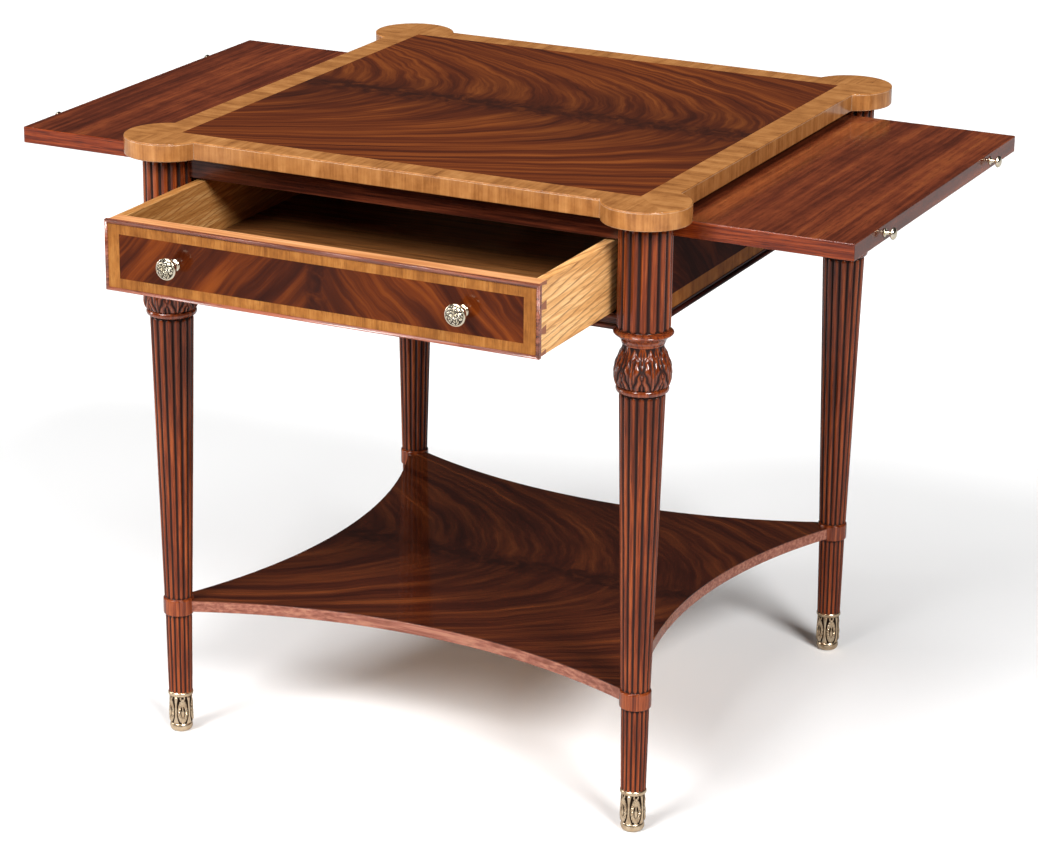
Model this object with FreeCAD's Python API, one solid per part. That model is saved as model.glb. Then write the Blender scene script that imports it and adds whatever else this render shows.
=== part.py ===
import FreeCAD, Part
import math
import os

# Square side table on four reeded legs, with one drawer in front, a pull-out
# slide at each side and a shelf with hollow sides between the legs.
#
# Millimetres.  +Z is up, the drawer opens towards -Y, the slides pull out along
# -X and +X.  The origin is on the floor, midway between the four legs.
# The table is drawn with the drawer part open and both slides pulled out.

os.makedirs("parts", exist_ok=True)
V = FreeCAD.Vector

# ---------------------------------------------------------------- overall sizes
WIDTH = 576.0              # between the axes of the left and right legs
DEPTH = 576.0              # between the axes of the front and back legs
HEIGHT = 711.0             # floor to the top surface

# ---------------------------------------------------------------- running gaps
RUN = 0.3                  # between a moving piece and what it slides on or meets
SNUG = 0.05                # round a dowel, peg or screw

# ---------------------------------------------------------------- table top
TOP_THICK = 20.5
TOP_OVERHANG = 18.5        # straight edges beyond the leg axes
EAR_RADIUS = 48.0          # round ear over each leg
TOP_BAND = 30.0            # width of the crossbanding
TOP_VENEER = 1.5
TOP_LIPPING = 3.0
ARRIS = 1.0                # rounding of the edges that hands touch

# ---------------------------------------------------------------- legs
LEG_RADIUS = 28.5          # reeded block beside the apron
REEDS = 16
REED_DEPTH = 0.075         # hollow between reeds, as a part of the radius
COLLAR_RADIUS = 32.0       # flared collar under the apron
COLLAR_HIGH = 13.5
COLLAR_DOWN = 6.5          # the collar's lower edge below the apron's
NECK_RADIUS = 22.2
BULB_RADIUS = 31.1         # carved bulb under the collar
BULB_HIGH = 49.0
BULB_FOOT_RADIUS = 26.6
RING_RADIUS = 28.4
RING_HIGH = 6.4
BAND_HIGH = 4.6            # plain band between the ring and the reeds
SHAFT_RADIUS = 24.4        # reeded shaft, at its top
FOOT_RADIUS = 13.9         # reeded shaft, where it meets the ferrule

# ---------------------------------------------------------------- brass ferrules
FERRULE_HIGH = 49.5
FERRULE_RIM = 14.6
FERRULE_RIM_HIGH = 3.5
FERRULE_BODY = 14.1
BUN_RADIUS = 13.2
BUN_HIGH = 10.0
BUN_FLAT = 8.0             # radius of the flat that stands on the floor
PEG_RADIUS = 9.5

# ---------------------------------------------------------------- shelf
SHELF_LEVEL = 162.5        # top surface
SHELF_THICK = 13.5
SHELF_WAIST = 59.0         # middle of each hollow side, in from the leg axes
SHELF_SEAT = 12.0          # flat seat in the leg's collar, from the leg axis
SHELF_TIP = 24.0           # width of a corner where it meets the leg
SHELF_BANDING = 2.5
SHELF_COLLAR_RADIUS = 17.5
SHELF_COLLAR_LIP = 3.0     # collar above and below the shelf
THIN_VENEER = 1.0

# ---------------------------------------------------------------- apron
APRON_HIGH = 123.0
RAIL_THICK = 20.0
RAIL_OUT = 2.0             # rail faces beyond the leg axes
RAIL_CORNER_GAP = 1.0      # between neighbouring rails, inside a leg
TENON_THICK = 8.0
TENON_LONG = 6.0
BOTTOM_RAIL_HIGH = 17.3
BOTTOM_RAIL_DEEP = 45.0
BEAD_HIGH = 9.5            # moulding along the foot of the apron
BEAD_DEEP = 6.0
BEAD_PROUD = 2.0
APRON_BAND = 16.0          # crossbanding above the moulding

# ---------------------------------------------------------------- side slides
SLIDE_THICK = 18.5
SLIDE_ROOM = 6.2           # between a slide and the table top, for the stops
SLIDE_LEG_GAP = 8.5        # slide edges to the legs
SLIDE_TRAVEL = 211.0
SLIDE_PROUD = 2.0          # outer edge beyond the apron when pushed in
SLIDE_GROOVE = 8.0         # how deep a slide's edge sits in its guide
SLIDE_LIP = 2.0            # strip of the guide under a slide
SLIDE_KNOB_HALF = 165.0    # knobs, from the middle of the edge
CENTRE_STOP = 15.4         # thickness of the stop between the slides
STOP_STRIP = 15.0
STOP_STRIP_HALF = 200.0
STOP_PEG_RADIUS = 5.0
STOP_PEG_IN = 14.0         # from a slide's inner end
STOP_PEG_HALF = 150.0
STOP_PEG_DEEP = 10.0

# ---------------------------------------------------------------- drawer
DRAWER_OPEN = 180.0        # how far the drawer stands open
DRAWER_FRONT = 23.0        # thickness of the front, with its cockbead
DRAWER_LEG_GAP = 4.3       # ends of the front to the legs
DRAWER_FRONT_LIFT = 0.8    # above the rail below it
DRAWER_LENGTH = 527.0      # sides, behind the front
COCKBEAD = 4.0
COCKBEAD_DEEP = 6.0
COCKBEAD_PROUD = 1.5       # beyond the veneered face
COCKBEAD_OUT = 2.9         # beyond the drawer's sides
COCKBEAD_NOSE = 1.5
DRAWER_SIDE = 11.0
DRAWER_BACK = 10.0
DRAWER_BACK_IN = 8.0       # from the ends of the sides
DRAWER_BACK_LOW = 8.2      # below the tops of the sides
DRAWER_BACK_HOUSED = 4.0
DRAWER_BOTTOM = 6.0
DRAWER_BOTTOM_UP = 7.1     # above the lower edges of the sides
DRAWER_GROOVE = 5.0
DRAWER_BOTTOM_PLAY = 0.2
TAILS = 3
TAIL_LONG = 12.0
TAIL_WIDE = 0.78           # tail's wide end, as a part of the spacing
TAIL_NARROW = 0.62
DRAWER_BAND_SIDE = 13.7
DRAWER_BAND_TOP = 10.5
DRAWER_KNOB_HALF = 169.5
RUNNER_WIDE = 34.0
RUNNER_THICK = 12.6
RUNNER_LEG_GAP = 1.5
GUIDE_HIGH = 64.0
STOP_BLOCK = (30.0, 12.0, 7.2)
STOP_BLOCK_HALF = 120.0

# ---------------------------------------------------------------- fixings
DOWEL_RADIUS = 5.0
DOWEL_LONG = 24.0
SHELF_DOWEL_RADIUS = 3.0
SHELF_DOWEL_LONG = 22.0
SCREW_RADIUS = 2.2
SCREW_HEAD = 4.3
SCREW_HEAD_HIGH = 3.0
SCREW_IN_TOP = 12.0
SCREW_SPACING = 180.0
KNOB_SCREW_RADIUS = 2.0
KNOB_SCREW_HEAD = 4.0
KNOB_SCREW_HEAD_HIGH = 2.4
KNOB_SCREW_IN_KNOB = 9.0
SLIDE_KNOB_STUD = 1.8
SLIDE_KNOB_STUD_LONG = 14.0

# ---------------------------------------------------------------- levels and lines
AX = WIDTH / 2
AY = DEPTH / 2
TOP_X = AX + TOP_OVERHANG
TOP_Y = AY + TOP_OVERHANG
UNDER_TOP = HEIGHT - TOP_THICK
APRON_FOOT = UNDER_TOP - APRON_HIGH
FACE_X = AX + RAIL_OUT
FACE_Y = AY + RAIL_OUT
INNER_X = FACE_X - RAIL_THICK
INNER_Y = FACE_Y - RAIL_THICK
RAIL_END_X = INNER_X - RAIL_CORNER_GAP
RAIL_END_Y = INNER_Y - RAIL_CORNER_GAP

SLIDE_Z1 = UNDER_TOP - SLIDE_ROOM
SLIDE_Z0 = SLIDE_Z1 - SLIDE_THICK
SLIDE_HALF_Y = AY - LEG_RADIUS - SLIDE_LEG_GAP
SLIDE_IN_OUTER = FACE_X + SLIDE_PROUD
SLIDE_OUTER = SLIDE_IN_OUTER + SLIDE_TRAVEL
SLIDE_INNER = CENTRE_STOP / 2 + RUN + SLIDE_TRAVEL
GUIDE_LIP_Z0 = SLIDE_Z0 - RUN - SLIDE_LIP
SIDE_RAIL_TOP = SLIDE_Z0 - RUN

DRAWER_Z1 = GUIDE_LIP_Z0 - RUN
DRAWER_Z0 = APRON_FOOT + BOTTOM_RAIL_HIGH + DRAWER_FRONT_LIFT
DRAWER_SIDE_Z0 = DRAWER_Z0 + RUN
FRONT_HALF = AX - LEG_RADIUS - DRAWER_LEG_GAP
DRAWER_HALF = FRONT_HALF - COCKBEAD_OUT
DRAWER_INSIDE = DRAWER_HALF - DRAWER_SIDE
FRONT_Y = -FACE_Y - DRAWER_OPEN
FRONT_BACK_Y = FRONT_Y + DRAWER_FRONT
VENEER_Y = FRONT_Y + COCKBEAD_PROUD
CORE_Y = VENEER_Y + THIN_VENEER
DRAWER_END_Y = FRONT_BACK_Y + DRAWER_LENGTH
KNOB_Z = (DRAWER_Z0 + DRAWER_Z1) / 2
PANEL_Z0 = DRAWER_SIDE_Z0 + DRAWER_BOTTOM_UP
PANEL_Z1 = PANEL_Z0 + DRAWER_BOTTOM

SHELF_Z0 = SHELF_LEVEL - SHELF_THICK
MANY = 4 * max(WIDTH, DEPTH)


# ---------------------------------------------------------------- shaping helpers
def box(x0, x1, y0, y1, z0, z1):
    """Block between two corners."""
    return Part.makeBox(x1 - x0, y1 - y0, z1 - z0, V(x0, y0, z0))


def post(x, y, z0, z1, radius):
    """Upright cylinder."""
    return Part.makeCylinder(radius, z1 - z0, V(x, y, z0))


def rod(start, direction, length, radius):
    """Cylinder from a point along a direction."""
    return Part.makeCylinder(radius, length, start, direction)


def prism(points, z0, z1):
    """Upright prism on a flat outline of (x, y) points."""
    corners = [V(x, y, z0) for x, y in points]
    face = Part.Face(Part.makePolygon(corners + corners[:1]))
    return face.extrude(V(0, 0, z1 - z0))


def turned(edges):
    """Solid turned about the Z axis from edges that close on it."""
    face = Part.Face(Part.Wire(edges))
    return face.revolve(V(0, 0, 0), V(0, 0, 1), 360)


def outline(steps):
    """Edges of a turning outline: (r, z) for a line, (r, z, mid_r, mid_z) for an arc."""
    edges = []
    here = V(steps[0][0], 0, steps[0][1])
    for step in steps[1:] + steps[:1]:
        there = V(step[0], 0, step[1])
        if len(step) == 4:
            edges.append(Part.Arc(here, V(step[2], 0, step[3]), there).toShape())
        else:
            edges.append(Part.LineSegment(here, there).toShape())
        here = there
    return edges


def fused(pieces):
    """One solid from touching pieces."""
    whole = pieces[0].fuse(pieces[1:])
    return whole.removeSplitter()


def bounds_box(shape):
    """Block that just holds a shape."""
    b = shape.BoundBox
    return box(b.XMin, b.XMax, b.YMin, b.YMax, b.ZMin, b.ZMax)


def mirrored_x(shape):
    """The same piece for the other side of the table."""
    return shape.mirror(V(0, 0, 0), V(1, 0, 0))


def placed(shape, x, y):
    """A copy moved over the floor."""
    copy = shape.copy()
    copy.translate(V(x, y, 0))
    return copy


def facing(shape, direction, x, y, z):
    """A piece turned about +Z, laid along a direction and set at a point."""
    copy = shape.copy()
    turn = FreeCAD.Rotation(V(0, 0, 1), direction)
    copy.Placement = FreeCAD.Placement(V(x, y, z), turn)
    return copy


def save(name, pieces):
    """Write one piece, or a group of separate pieces, to its own file."""
    if not isinstance(pieces, list):
        pieces = [pieces]
    solids = []
    for piece in pieces:
        solids.extend(piece.Solids)
    shape = solids[0] if len(solids) == 1 else Part.makeCompound(solids)
    shape.exportStep("parts/" + name + ".step")


# ---------------------------------------------------------------- rails
def tenoned_x(y0, y1, z0, z1):
    """Rail along X, its ends housed in the legs, with a tenon on each end."""
    middle = math.copysign((FACE_Y + INNER_Y) / 2, y0)
    height = z1 - z0
    body = box(-RAIL_END_X, RAIL_END_X, y0, y1, z0, z1)
    long_x = RAIL_END_X + TENON_LONG
    tenon = box(-long_x, long_x, middle - TENON_THICK / 2, middle + TENON_THICK / 2,
                z0 + height / 5, z1 - height / 5)
    return fused([body, tenon])


def bead_section(x0, nose_x, z0):
    """Section of the apron moulding in X and Z: a round nose, a quirk and a fillet."""
    nose = 3.0
    quirk_x = nose_x - 2.8
    fillet_x = nose_x - 1.4
    flat_z = z0 + 2 * nose
    edges = outline([
        (x0, z0),
        (nose_x - nose, z0),
        (nose_x - nose, flat_z, nose_x, z0 + nose),
        (quirk_x, flat_z + 0.9),
        (fillet_x, flat_z + 1.3),
        (fillet_x, z0 + BEAD_HIGH),
        (x0, z0 + BEAD_HIGH),
    ])
    return Part.Face(Part.Wire(edges))


def apron_side():
    """Right-hand apron: rail, show veneer, crossbanding and moulding."""
    groove_z = APRON_FOOT + BEAD_HIGH
    band_z = groove_z + APRON_BAND
    core_x = FACE_X - THIN_VENEER
    bead_x = FACE_X - BEAD_DEEP
    half = RAIL_END_Y
    body = box(INNER_X, core_x, -half, half, APRON_FOOT, SIDE_RAIL_TOP)
    middle = (INNER_X + FACE_X) / 2
    height = SIDE_RAIL_TOP - APRON_FOOT
    tenon = box(middle - TENON_THICK / 2, middle + TENON_THICK / 2,
                -half - TENON_LONG, half + TENON_LONG,
                APRON_FOOT + height / 5, SIDE_RAIL_TOP - height / 5)
    rail = fused([body, tenon])
    rail = rail.cut(box(bead_x, FACE_X, -half, half, APRON_FOOT, groove_z))
    field = box(core_x, FACE_X, -half, half, band_z, SIDE_RAIL_TOP)
    band = box(core_x, FACE_X, -half, half, groove_z, band_z)
    section = bead_section(bead_x, FACE_X + BEAD_PROUD, APRON_FOOT)
    section.translate(V(0, -half, 0))
    bead = section.extrude(V(0, 2 * half, 0))
    return rail, field, band, bead


def apron_back():
    """Back apron, the same work as the sides but as high as the top allows."""
    groove_z = APRON_FOOT + BEAD_HIGH
    band_z = groove_z + APRON_BAND
    core_y = FACE_Y - THIN_VENEER
    half = RAIL_END_X
    rail = tenoned_x(INNER_Y, core_y, APRON_FOOT, UNDER_TOP)
    rail = rail.cut(box(-half, half, FACE_Y - BEAD_DEEP, FACE_Y, APRON_FOOT, groove_z))
    field = box(-half, half, core_y, FACE_Y, band_z, UNDER_TOP)
    band = box(-half, half, core_y, FACE_Y, groove_z, band_z)
    section = bead_section(FACE_Y - BEAD_DEEP, FACE_Y + BEAD_PROUD, APRON_FOOT)
    section.rotate(V(0, 0, 0), V(0, 0, 1), 90)
    section.translate(V(half, 0, 0))
    bead = section.extrude(V(-2 * half, 0, 0))
    return rail, field, band, bead


def front_rails():
    """Narrow rail above the drawer and beaded rail below it."""
    above = tenoned_x(-FACE_Y, -INNER_Y, GUIDE_LIP_Z0 + SLIDE_LIP + RUN, UNDER_TOP)
    top_z = APRON_FOOT + BOTTOM_RAIL_HIGH
    below = tenoned_x(-FACE_Y, BOTTOM_RAIL_DEEP - FACE_Y, APRON_FOOT, top_z)
    radius = BOTTOM_RAIL_HIGH / 5
    beads = []
    for z in (APRON_FOOT + radius, top_z - radius):
        start = V(-RAIL_END_X, radius - FACE_Y - BEAD_PROUD, z)
        beads.append(rod(start, V(1, 0, 0), 2 * RAIL_END_X, radius))
    return above, fused([below] + beads)


# ---------------------------------------------------------------- legs and ferrules
def reed_wire(z, radius):
    """Closed ring of round reeds."""
    half = math.pi / REEDS
    low = radius * (1 - REED_DEPTH)
    edges = []
    for i in range(REEDS):
        mid = 2 * half * i
        ends = [V(low * math.cos(mid + s), low * math.sin(mid + s), z) for s in (-half, half)]
        crown = V(radius * math.cos(mid), radius * math.sin(mid), z)
        edges.append(Part.Arc(ends[0], crown, ends[1]).toShape())
    return Part.Wire(edges)


def reeded(z0, radius0, z1, radius1):
    """Straight or tapered length of reeding."""
    return Part.makeLoft([reed_wire(z0, radius0), reed_wire(z1, radius1)], True, True)


def shaft_radius(z, top_z):
    """Radius of the tapered shaft at a height."""
    share = (z - FERRULE_HIGH) / (top_z - FERRULE_HIGH)
    return FOOT_RADIUS + (SHAFT_RADIUS - FOOT_RADIUS) * share


def leg_blank():
    """Leg before it is morticed: block, collar, bulb, ring, shaft, collar, shaft, peg."""
    collar_z0 = APRON_FOOT - COLLAR_DOWN
    collar_z1 = collar_z0 + COLLAR_HIGH
    bulb_z0 = collar_z0 - BULB_HIGH
    ring_z0 = bulb_z0 - RING_HIGH
    band_z0 = ring_z0 - BAND_HIGH
    seat_z0 = SHELF_Z0 - SHELF_COLLAR_LIP
    seat_z1 = SHELF_LEVEL + SHELF_COLLAR_LIP
    neck_z = collar_z0 - 4.0
    widest_z = bulb_z0 + BULB_HIGH * 0.35
    band_radius = SHAFT_RADIUS + 1.0
    capital = turned(outline([
        (0.0, band_z0),
        (band_radius, band_z0),
        (band_radius, ring_z0),
        (RING_RADIUS - 1.5, ring_z0),
        (RING_RADIUS - 1.5, bulb_z0, RING_RADIUS, (ring_z0 + bulb_z0) / 2),
        (BULB_FOOT_RADIUS, bulb_z0),
        (NECK_RADIUS, neck_z, BULB_RADIUS, widest_z),
        (NECK_RADIUS + 1.5, collar_z0),
        (NECK_RADIUS + 2.2, collar_z0 + 1.0),
        (COLLAR_RADIUS, collar_z1 - 5.0, NECK_RADIUS + 5.0, collar_z0 + 5.5),
        (COLLAR_RADIUS - 1.5, collar_z1 - 2.0, COLLAR_RADIUS, collar_z1 - 3.0),
        (LEG_RADIUS - 1.0, collar_z1),
        (0.0, collar_z1),
    ]))
    seat = turned(outline([
        (0.0, seat_z0),
        (SHELF_COLLAR_RADIUS - 1.2, seat_z0),
        (SHELF_COLLAR_RADIUS, seat_z0 + 1.2),
        (SHELF_COLLAR_RADIUS, seat_z1 - 1.2),
        (SHELF_COLLAR_RADIUS - 1.2, seat_z1),
        (0.0, seat_z1),
    ]))
    upper = reeded(collar_z1, LEG_RADIUS, UNDER_TOP, LEG_RADIUS)
    shaft = reeded(seat_z1, shaft_radius(seat_z1, band_z0), band_z0, SHAFT_RADIUS)
    lower = reeded(FERRULE_HIGH, FOOT_RADIUS, seat_z0, shaft_radius(seat_z0, band_z0))
    peg = post(0, 0, BUN_HIGH + RUN, FERRULE_HIGH, PEG_RADIUS - SNUG)
    leg = fused([upper, capital, shaft, seat, lower, peg])
    hole = post(0, 0, UNDER_TOP - DOWEL_LONG / 2 - RUN, UNDER_TOP, DOWEL_RADIUS + SNUG)
    return leg.cut(hole)


def shelf_seat_cut(side_x, side_y):
    """Room for a shelf corner in a leg's collar, cut back to the flat seat."""
    away = SHELF_SEAT / math.sqrt(2)
    wide = 2 * SHELF_COLLAR_RADIUS
    middle = (side_x * (AX - away), side_y * (AY - away))
    along = (-side_x * wide, side_y * wide)
    inwards = (-side_x * wide, -side_y * wide)
    first = (middle[0] + along[0], middle[1] + along[1])
    second = (middle[0] - along[0], middle[1] - along[1])
    third = (second[0] + inwards[0], second[1] + inwards[1])
    fourth = (first[0] + inwards[0], first[1] + inwards[1])
    return prism([first, second, third, fourth], SHELF_Z0, SHELF_LEVEL)


def shelf_dowel(side_x, side_y, radius, length):
    """Dowel or its hole, level, on the diagonal through a leg."""
    away = (SHELF_SEAT + length / 2) / math.sqrt(2)
    level = (SHELF_Z0 + SHELF_LEVEL) / 2
    start = V(side_x * (AX - away), side_y * (AY - away), level)
    return rod(start, V(side_x, side_y, 0), length, radius)


def ferrule():
    """Cast brass cup: bun foot, tapered body and rim."""
    return turned(outline([
        (0.0, 0.0),
        (BUN_FLAT, 0.0),
        (BUN_RADIUS - 1.0, BUN_HIGH, BUN_RADIUS, BUN_HIGH / 2),
        (FERRULE_BODY, BUN_HIGH + 13.0, BUN_RADIUS + 0.5, BUN_HIGH + 5.0),
        (FERRULE_BODY - 1.0, FERRULE_HIGH - FERRULE_RIM_HIGH - 2.0),
        (FERRULE_RIM, FERRULE_HIGH - FERRULE_RIM_HIGH),
        (FERRULE_RIM, FERRULE_HIGH),
        (PEG_RADIUS, FERRULE_HIGH),
        (PEG_RADIUS, BUN_HIGH),
        (0.0, BUN_HIGH),
    ]))


# ---------------------------------------------------------------- table top
def top_slab(inset, z0, z1, arris):
    """Top outline, square with a round ear over each leg, drawn in by an inset."""
    slab = box(inset - TOP_X, TOP_X - inset, inset - TOP_Y, TOP_Y - inset, z0, z1)
    ear = post(0, 0, z0, z1, EAR_RADIUS - inset)
    if arris:
        slab = slab.makeFillet(arris, [e for e in slab.Edges if abs(e.tangentAt(0).z) < 0.5])
        ear = ear.makeFillet(arris, [e for e in ear.Edges if len(e.Vertexes) == 1])
    ears = [placed(ear, sx * AX, sy * AY) for sx in (-1, 1) for sy in (-1, 1)]
    return fused([slab] + ears)


def mitre_prism(side_x, side_y, half_x, half_y, z0, z1):
    """Room for one side of a mitred frame around a rectangle."""
    reach = TOP_BAND + 3 * EAR_RADIUS
    if side_y:
        near = side_y * half_y
        far = side_y * (half_y + reach)
        points = [(-half_x, near), (half_x, near), (half_x + reach, far), (-half_x - reach, far)]
    else:
        near = side_x * half_x
        far = side_x * (half_x + reach)
        points = [(near, -half_y), (near, half_y), (far, half_y + reach), (far, -half_y - reach)]
    return prism(points, z0, z1)


def build_top():
    """Core, edge lipping, show veneer and four crossbands, with their screw holes."""
    veneer_z = HEIGHT - TOP_VENEER
    whole = top_slab(0.0, UNDER_TOP, HEIGHT, ARRIS)
    below = whole.common(box(-MANY, MANY, -MANY, MANY, UNDER_TOP, veneer_z))
    sheet = whole.common(box(-MANY, MANY, -MANY, MANY, veneer_z, HEIGHT))
    core = top_slab(TOP_LIPPING, UNDER_TOP, veneer_z, 0)
    ring = below.cut(core)
    ears = []
    for sx in (-1, 1):
        for sy in (-1, 1):
            ears.append(post(sx * AX, sy * AY, UNDER_TOP, HEIGHT, EAR_RADIUS))
    lipping = [ring.cut(ears)] + [ring.common(ear) for ear in ears]
    half_x = TOP_X - TOP_BAND
    half_y = TOP_Y - TOP_BAND
    field = box(-half_x, half_x, -half_y, half_y, veneer_z, HEIGHT)
    for name, sx, sy in (("front", 0, -1), ("back", 0, 1), ("left", -1, 0), ("right", 1, 0)):
        room = mitre_prism(sx, sy, half_x, half_y, veneer_z, HEIGHT)
        save("top_band_" + name, sheet.common(room))
    for sx in (-1, 1):
        for sy in (-1, 1):
            top_z = UNDER_TOP + DOWEL_LONG / 2 + RUN
            core = core.cut(post(sx * AX, sy * AY, UNDER_TOP, top_z, DOWEL_RADIUS + SNUG))
    for x, y, head_z in top_screw_places():
        core = core.cut(post(x, y, UNDER_TOP, UNDER_TOP + SCREW_IN_TOP, SCREW_RADIUS + SNUG))
    save("top_board", core)
    save("top_lipping", lipping)
    save("top_field", field)


def top_screw_places():
    """Screws up into the top: x, y and the level of the head's bearing face."""
    front_y = -(FACE_Y + INNER_Y) / 2
    back_y = (FACE_Y - THIN_VENEER + INNER_Y) / 2
    places = []
    for x in (-SCREW_SPACING, 0.0, SCREW_SPACING):
        places.append((x, front_y, SLIDE_Z0 + 6.0))
        places.append((x, back_y, GUIDE_LIP_Z0 - 12.0))
    return places


def screw(x, y, head_z, tip_z):
    """Wood screw standing upright, its head below."""
    head = post(x, y, head_z - SCREW_HEAD_HIGH, head_z, SCREW_HEAD)
    return fused([head, post(x, y, head_z, tip_z, SCREW_RADIUS)])


# ---------------------------------------------------------------- shelf
def shelf_arcs():
    """For each hollow side: its two corner points and its middle."""
    base = SHELF_SEAT / math.sqrt(2)
    half = SHELF_TIP / 2 / math.sqrt(2)
    near_x = AX - base - half
    far_x = AX - base + half
    near_y = AY - base - half
    far_y = AY - base + half
    waist_x = AX - SHELF_WAIST
    waist_y = AY - SHELF_WAIST
    return [
        (V(-near_x, -far_y, 0), V(0, -waist_y, 0), V(near_x, -far_y, 0)),
        (V(far_x, -near_y, 0), V(waist_x, 0, 0), V(far_x, near_y, 0)),
        (V(near_x, far_y, 0), V(0, waist_y, 0), V(-near_x, far_y, 0)),
        (V(-far_x, near_y, 0), V(-waist_x, 0, 0), V(-far_x, -near_y, 0)),
    ]


def build_shelf():
    """Core, edge banding, veneer and dowels of the shelf."""
    arcs = shelf_arcs()
    edges = []
    for i, (start, middle, end) in enumerate(arcs):
        edges.append(Part.Arc(start, middle, end).toShape())
        edges.append(Part.LineSegment(end, arcs[(i + 1) % 4][0]).toShape())
    face = Part.Face(Part.Wire(edges))
    face.translate(V(0, 0, SHELF_Z0))
    veneer_z = SHELF_LEVEL - THIN_VENEER
    board = face.extrude(V(0, 0, veneer_z - SHELF_Z0))
    sheet = face.extrude(V(0, 0, THIN_VENEER))
    sheet.translate(V(0, 0, veneer_z - SHELF_Z0))
    strips = []
    core = board
    for start, middle, end in arcs:
        circle = Part.Arc(start, middle, end).toShape().Curve
        centre = circle.Center
        reach = post(centre.x, centre.y, SHELF_Z0, veneer_z, circle.Radius + SHELF_BANDING)
        strips.append(board.common(reach))
        core = core.cut(reach)
    dowels = []
    for sx in (-1, 1):
        for sy in (-1, 1):
            core = core.cut(shelf_dowel(sx, sy, SHELF_DOWEL_RADIUS + SNUG, SHELF_DOWEL_LONG + 2 * RUN))
            dowels.append(shelf_dowel(sx, sy, SHELF_DOWEL_RADIUS, SHELF_DOWEL_LONG))
    save("shelf_board", core)
    save("shelf_banding", strips)
    save("shelf_veneer", sheet)
    save("shelf_dowels", dowels)


# ---------------------------------------------------------------- inside the frame
def guide_half():
    """Half length of a slide guide: clear of the legs' rounds and the side rails."""
    inset = math.sqrt(LEG_RADIUS ** 2 - (AY - INNER_Y) ** 2)
    return min(AX - inset - RUNNER_LEG_GAP, INNER_X)


def build_inside():
    """Runners and guides of the drawer and slides, and the stops."""
    guide_x = DRAWER_HALF + RUN
    end_y = AY - LEG_RADIUS - RUNNER_LEG_GAP
    start_y = BOTTOM_RAIL_DEEP - FACE_Y
    runner_z = DRAWER_SIDE_Z0 - RUN
    runner = box(INNER_X - RUNNER_WIDE, INNER_X, start_y, end_y, runner_z - RUNNER_THICK, runner_z)
    guide = box(guide_x, INNER_X, start_y, end_y, runner_z, runner_z + GUIDE_HIGH)
    for side, turn in (("right", lambda s: s), ("left", mirrored_x)):
        save("drawer_runner_" + side, turn(runner))
        save("drawer_guide_" + side, turn(guide))

    groove_y = SLIDE_HALF_Y + RUN
    lip_y = SLIDE_HALF_Y - SLIDE_GROOVE
    half_x = guide_half()
    for side, sign in (("front", -1), ("back", 1)):
        outer, inner = sorted((sign * INNER_Y, sign * lip_y))
        rail = box(-half_x, half_x, outer, inner, GUIDE_LIP_Z0, UNDER_TOP)
        outer, inner = sorted((sign * groove_y, sign * lip_y))
        rail = rail.cut(box(-half_x, half_x, outer, inner, SLIDE_Z0 - RUN, SLIDE_Z1 + RUN))
        save("slide_guide_" + side, rail)
    half = CENTRE_STOP / 2
    save("slide_centre_stop", box(-half, half, -lip_y, lip_y, SLIDE_Z0 - RUN, UNDER_TOP))

    strip_x = SLIDE_INNER + STOP_PEG_IN + STOP_PEG_RADIUS + RUN
    strip = box(strip_x, strip_x + STOP_STRIP, -STOP_STRIP_HALF, STOP_STRIP_HALF,
                SLIDE_Z1 + 2 * RUN, UNDER_TOP)
    save("slide_stop_strip_right", strip)
    save("slide_stop_strip_left", mirrored_x(strip))

    width, deep, high = STOP_BLOCK
    block_y = FRONT_BACK_Y + DRAWER_OPEN + RUN
    rail_z = APRON_FOOT + BOTTOM_RAIL_HIGH
    blocks = []
    for x in (-STOP_BLOCK_HALF, STOP_BLOCK_HALF):
        blocks.append(box(x - width / 2, x + width / 2, block_y, block_y + deep, rail_z, rail_z + high))
    save("drawer_stop_blocks", blocks)


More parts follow.
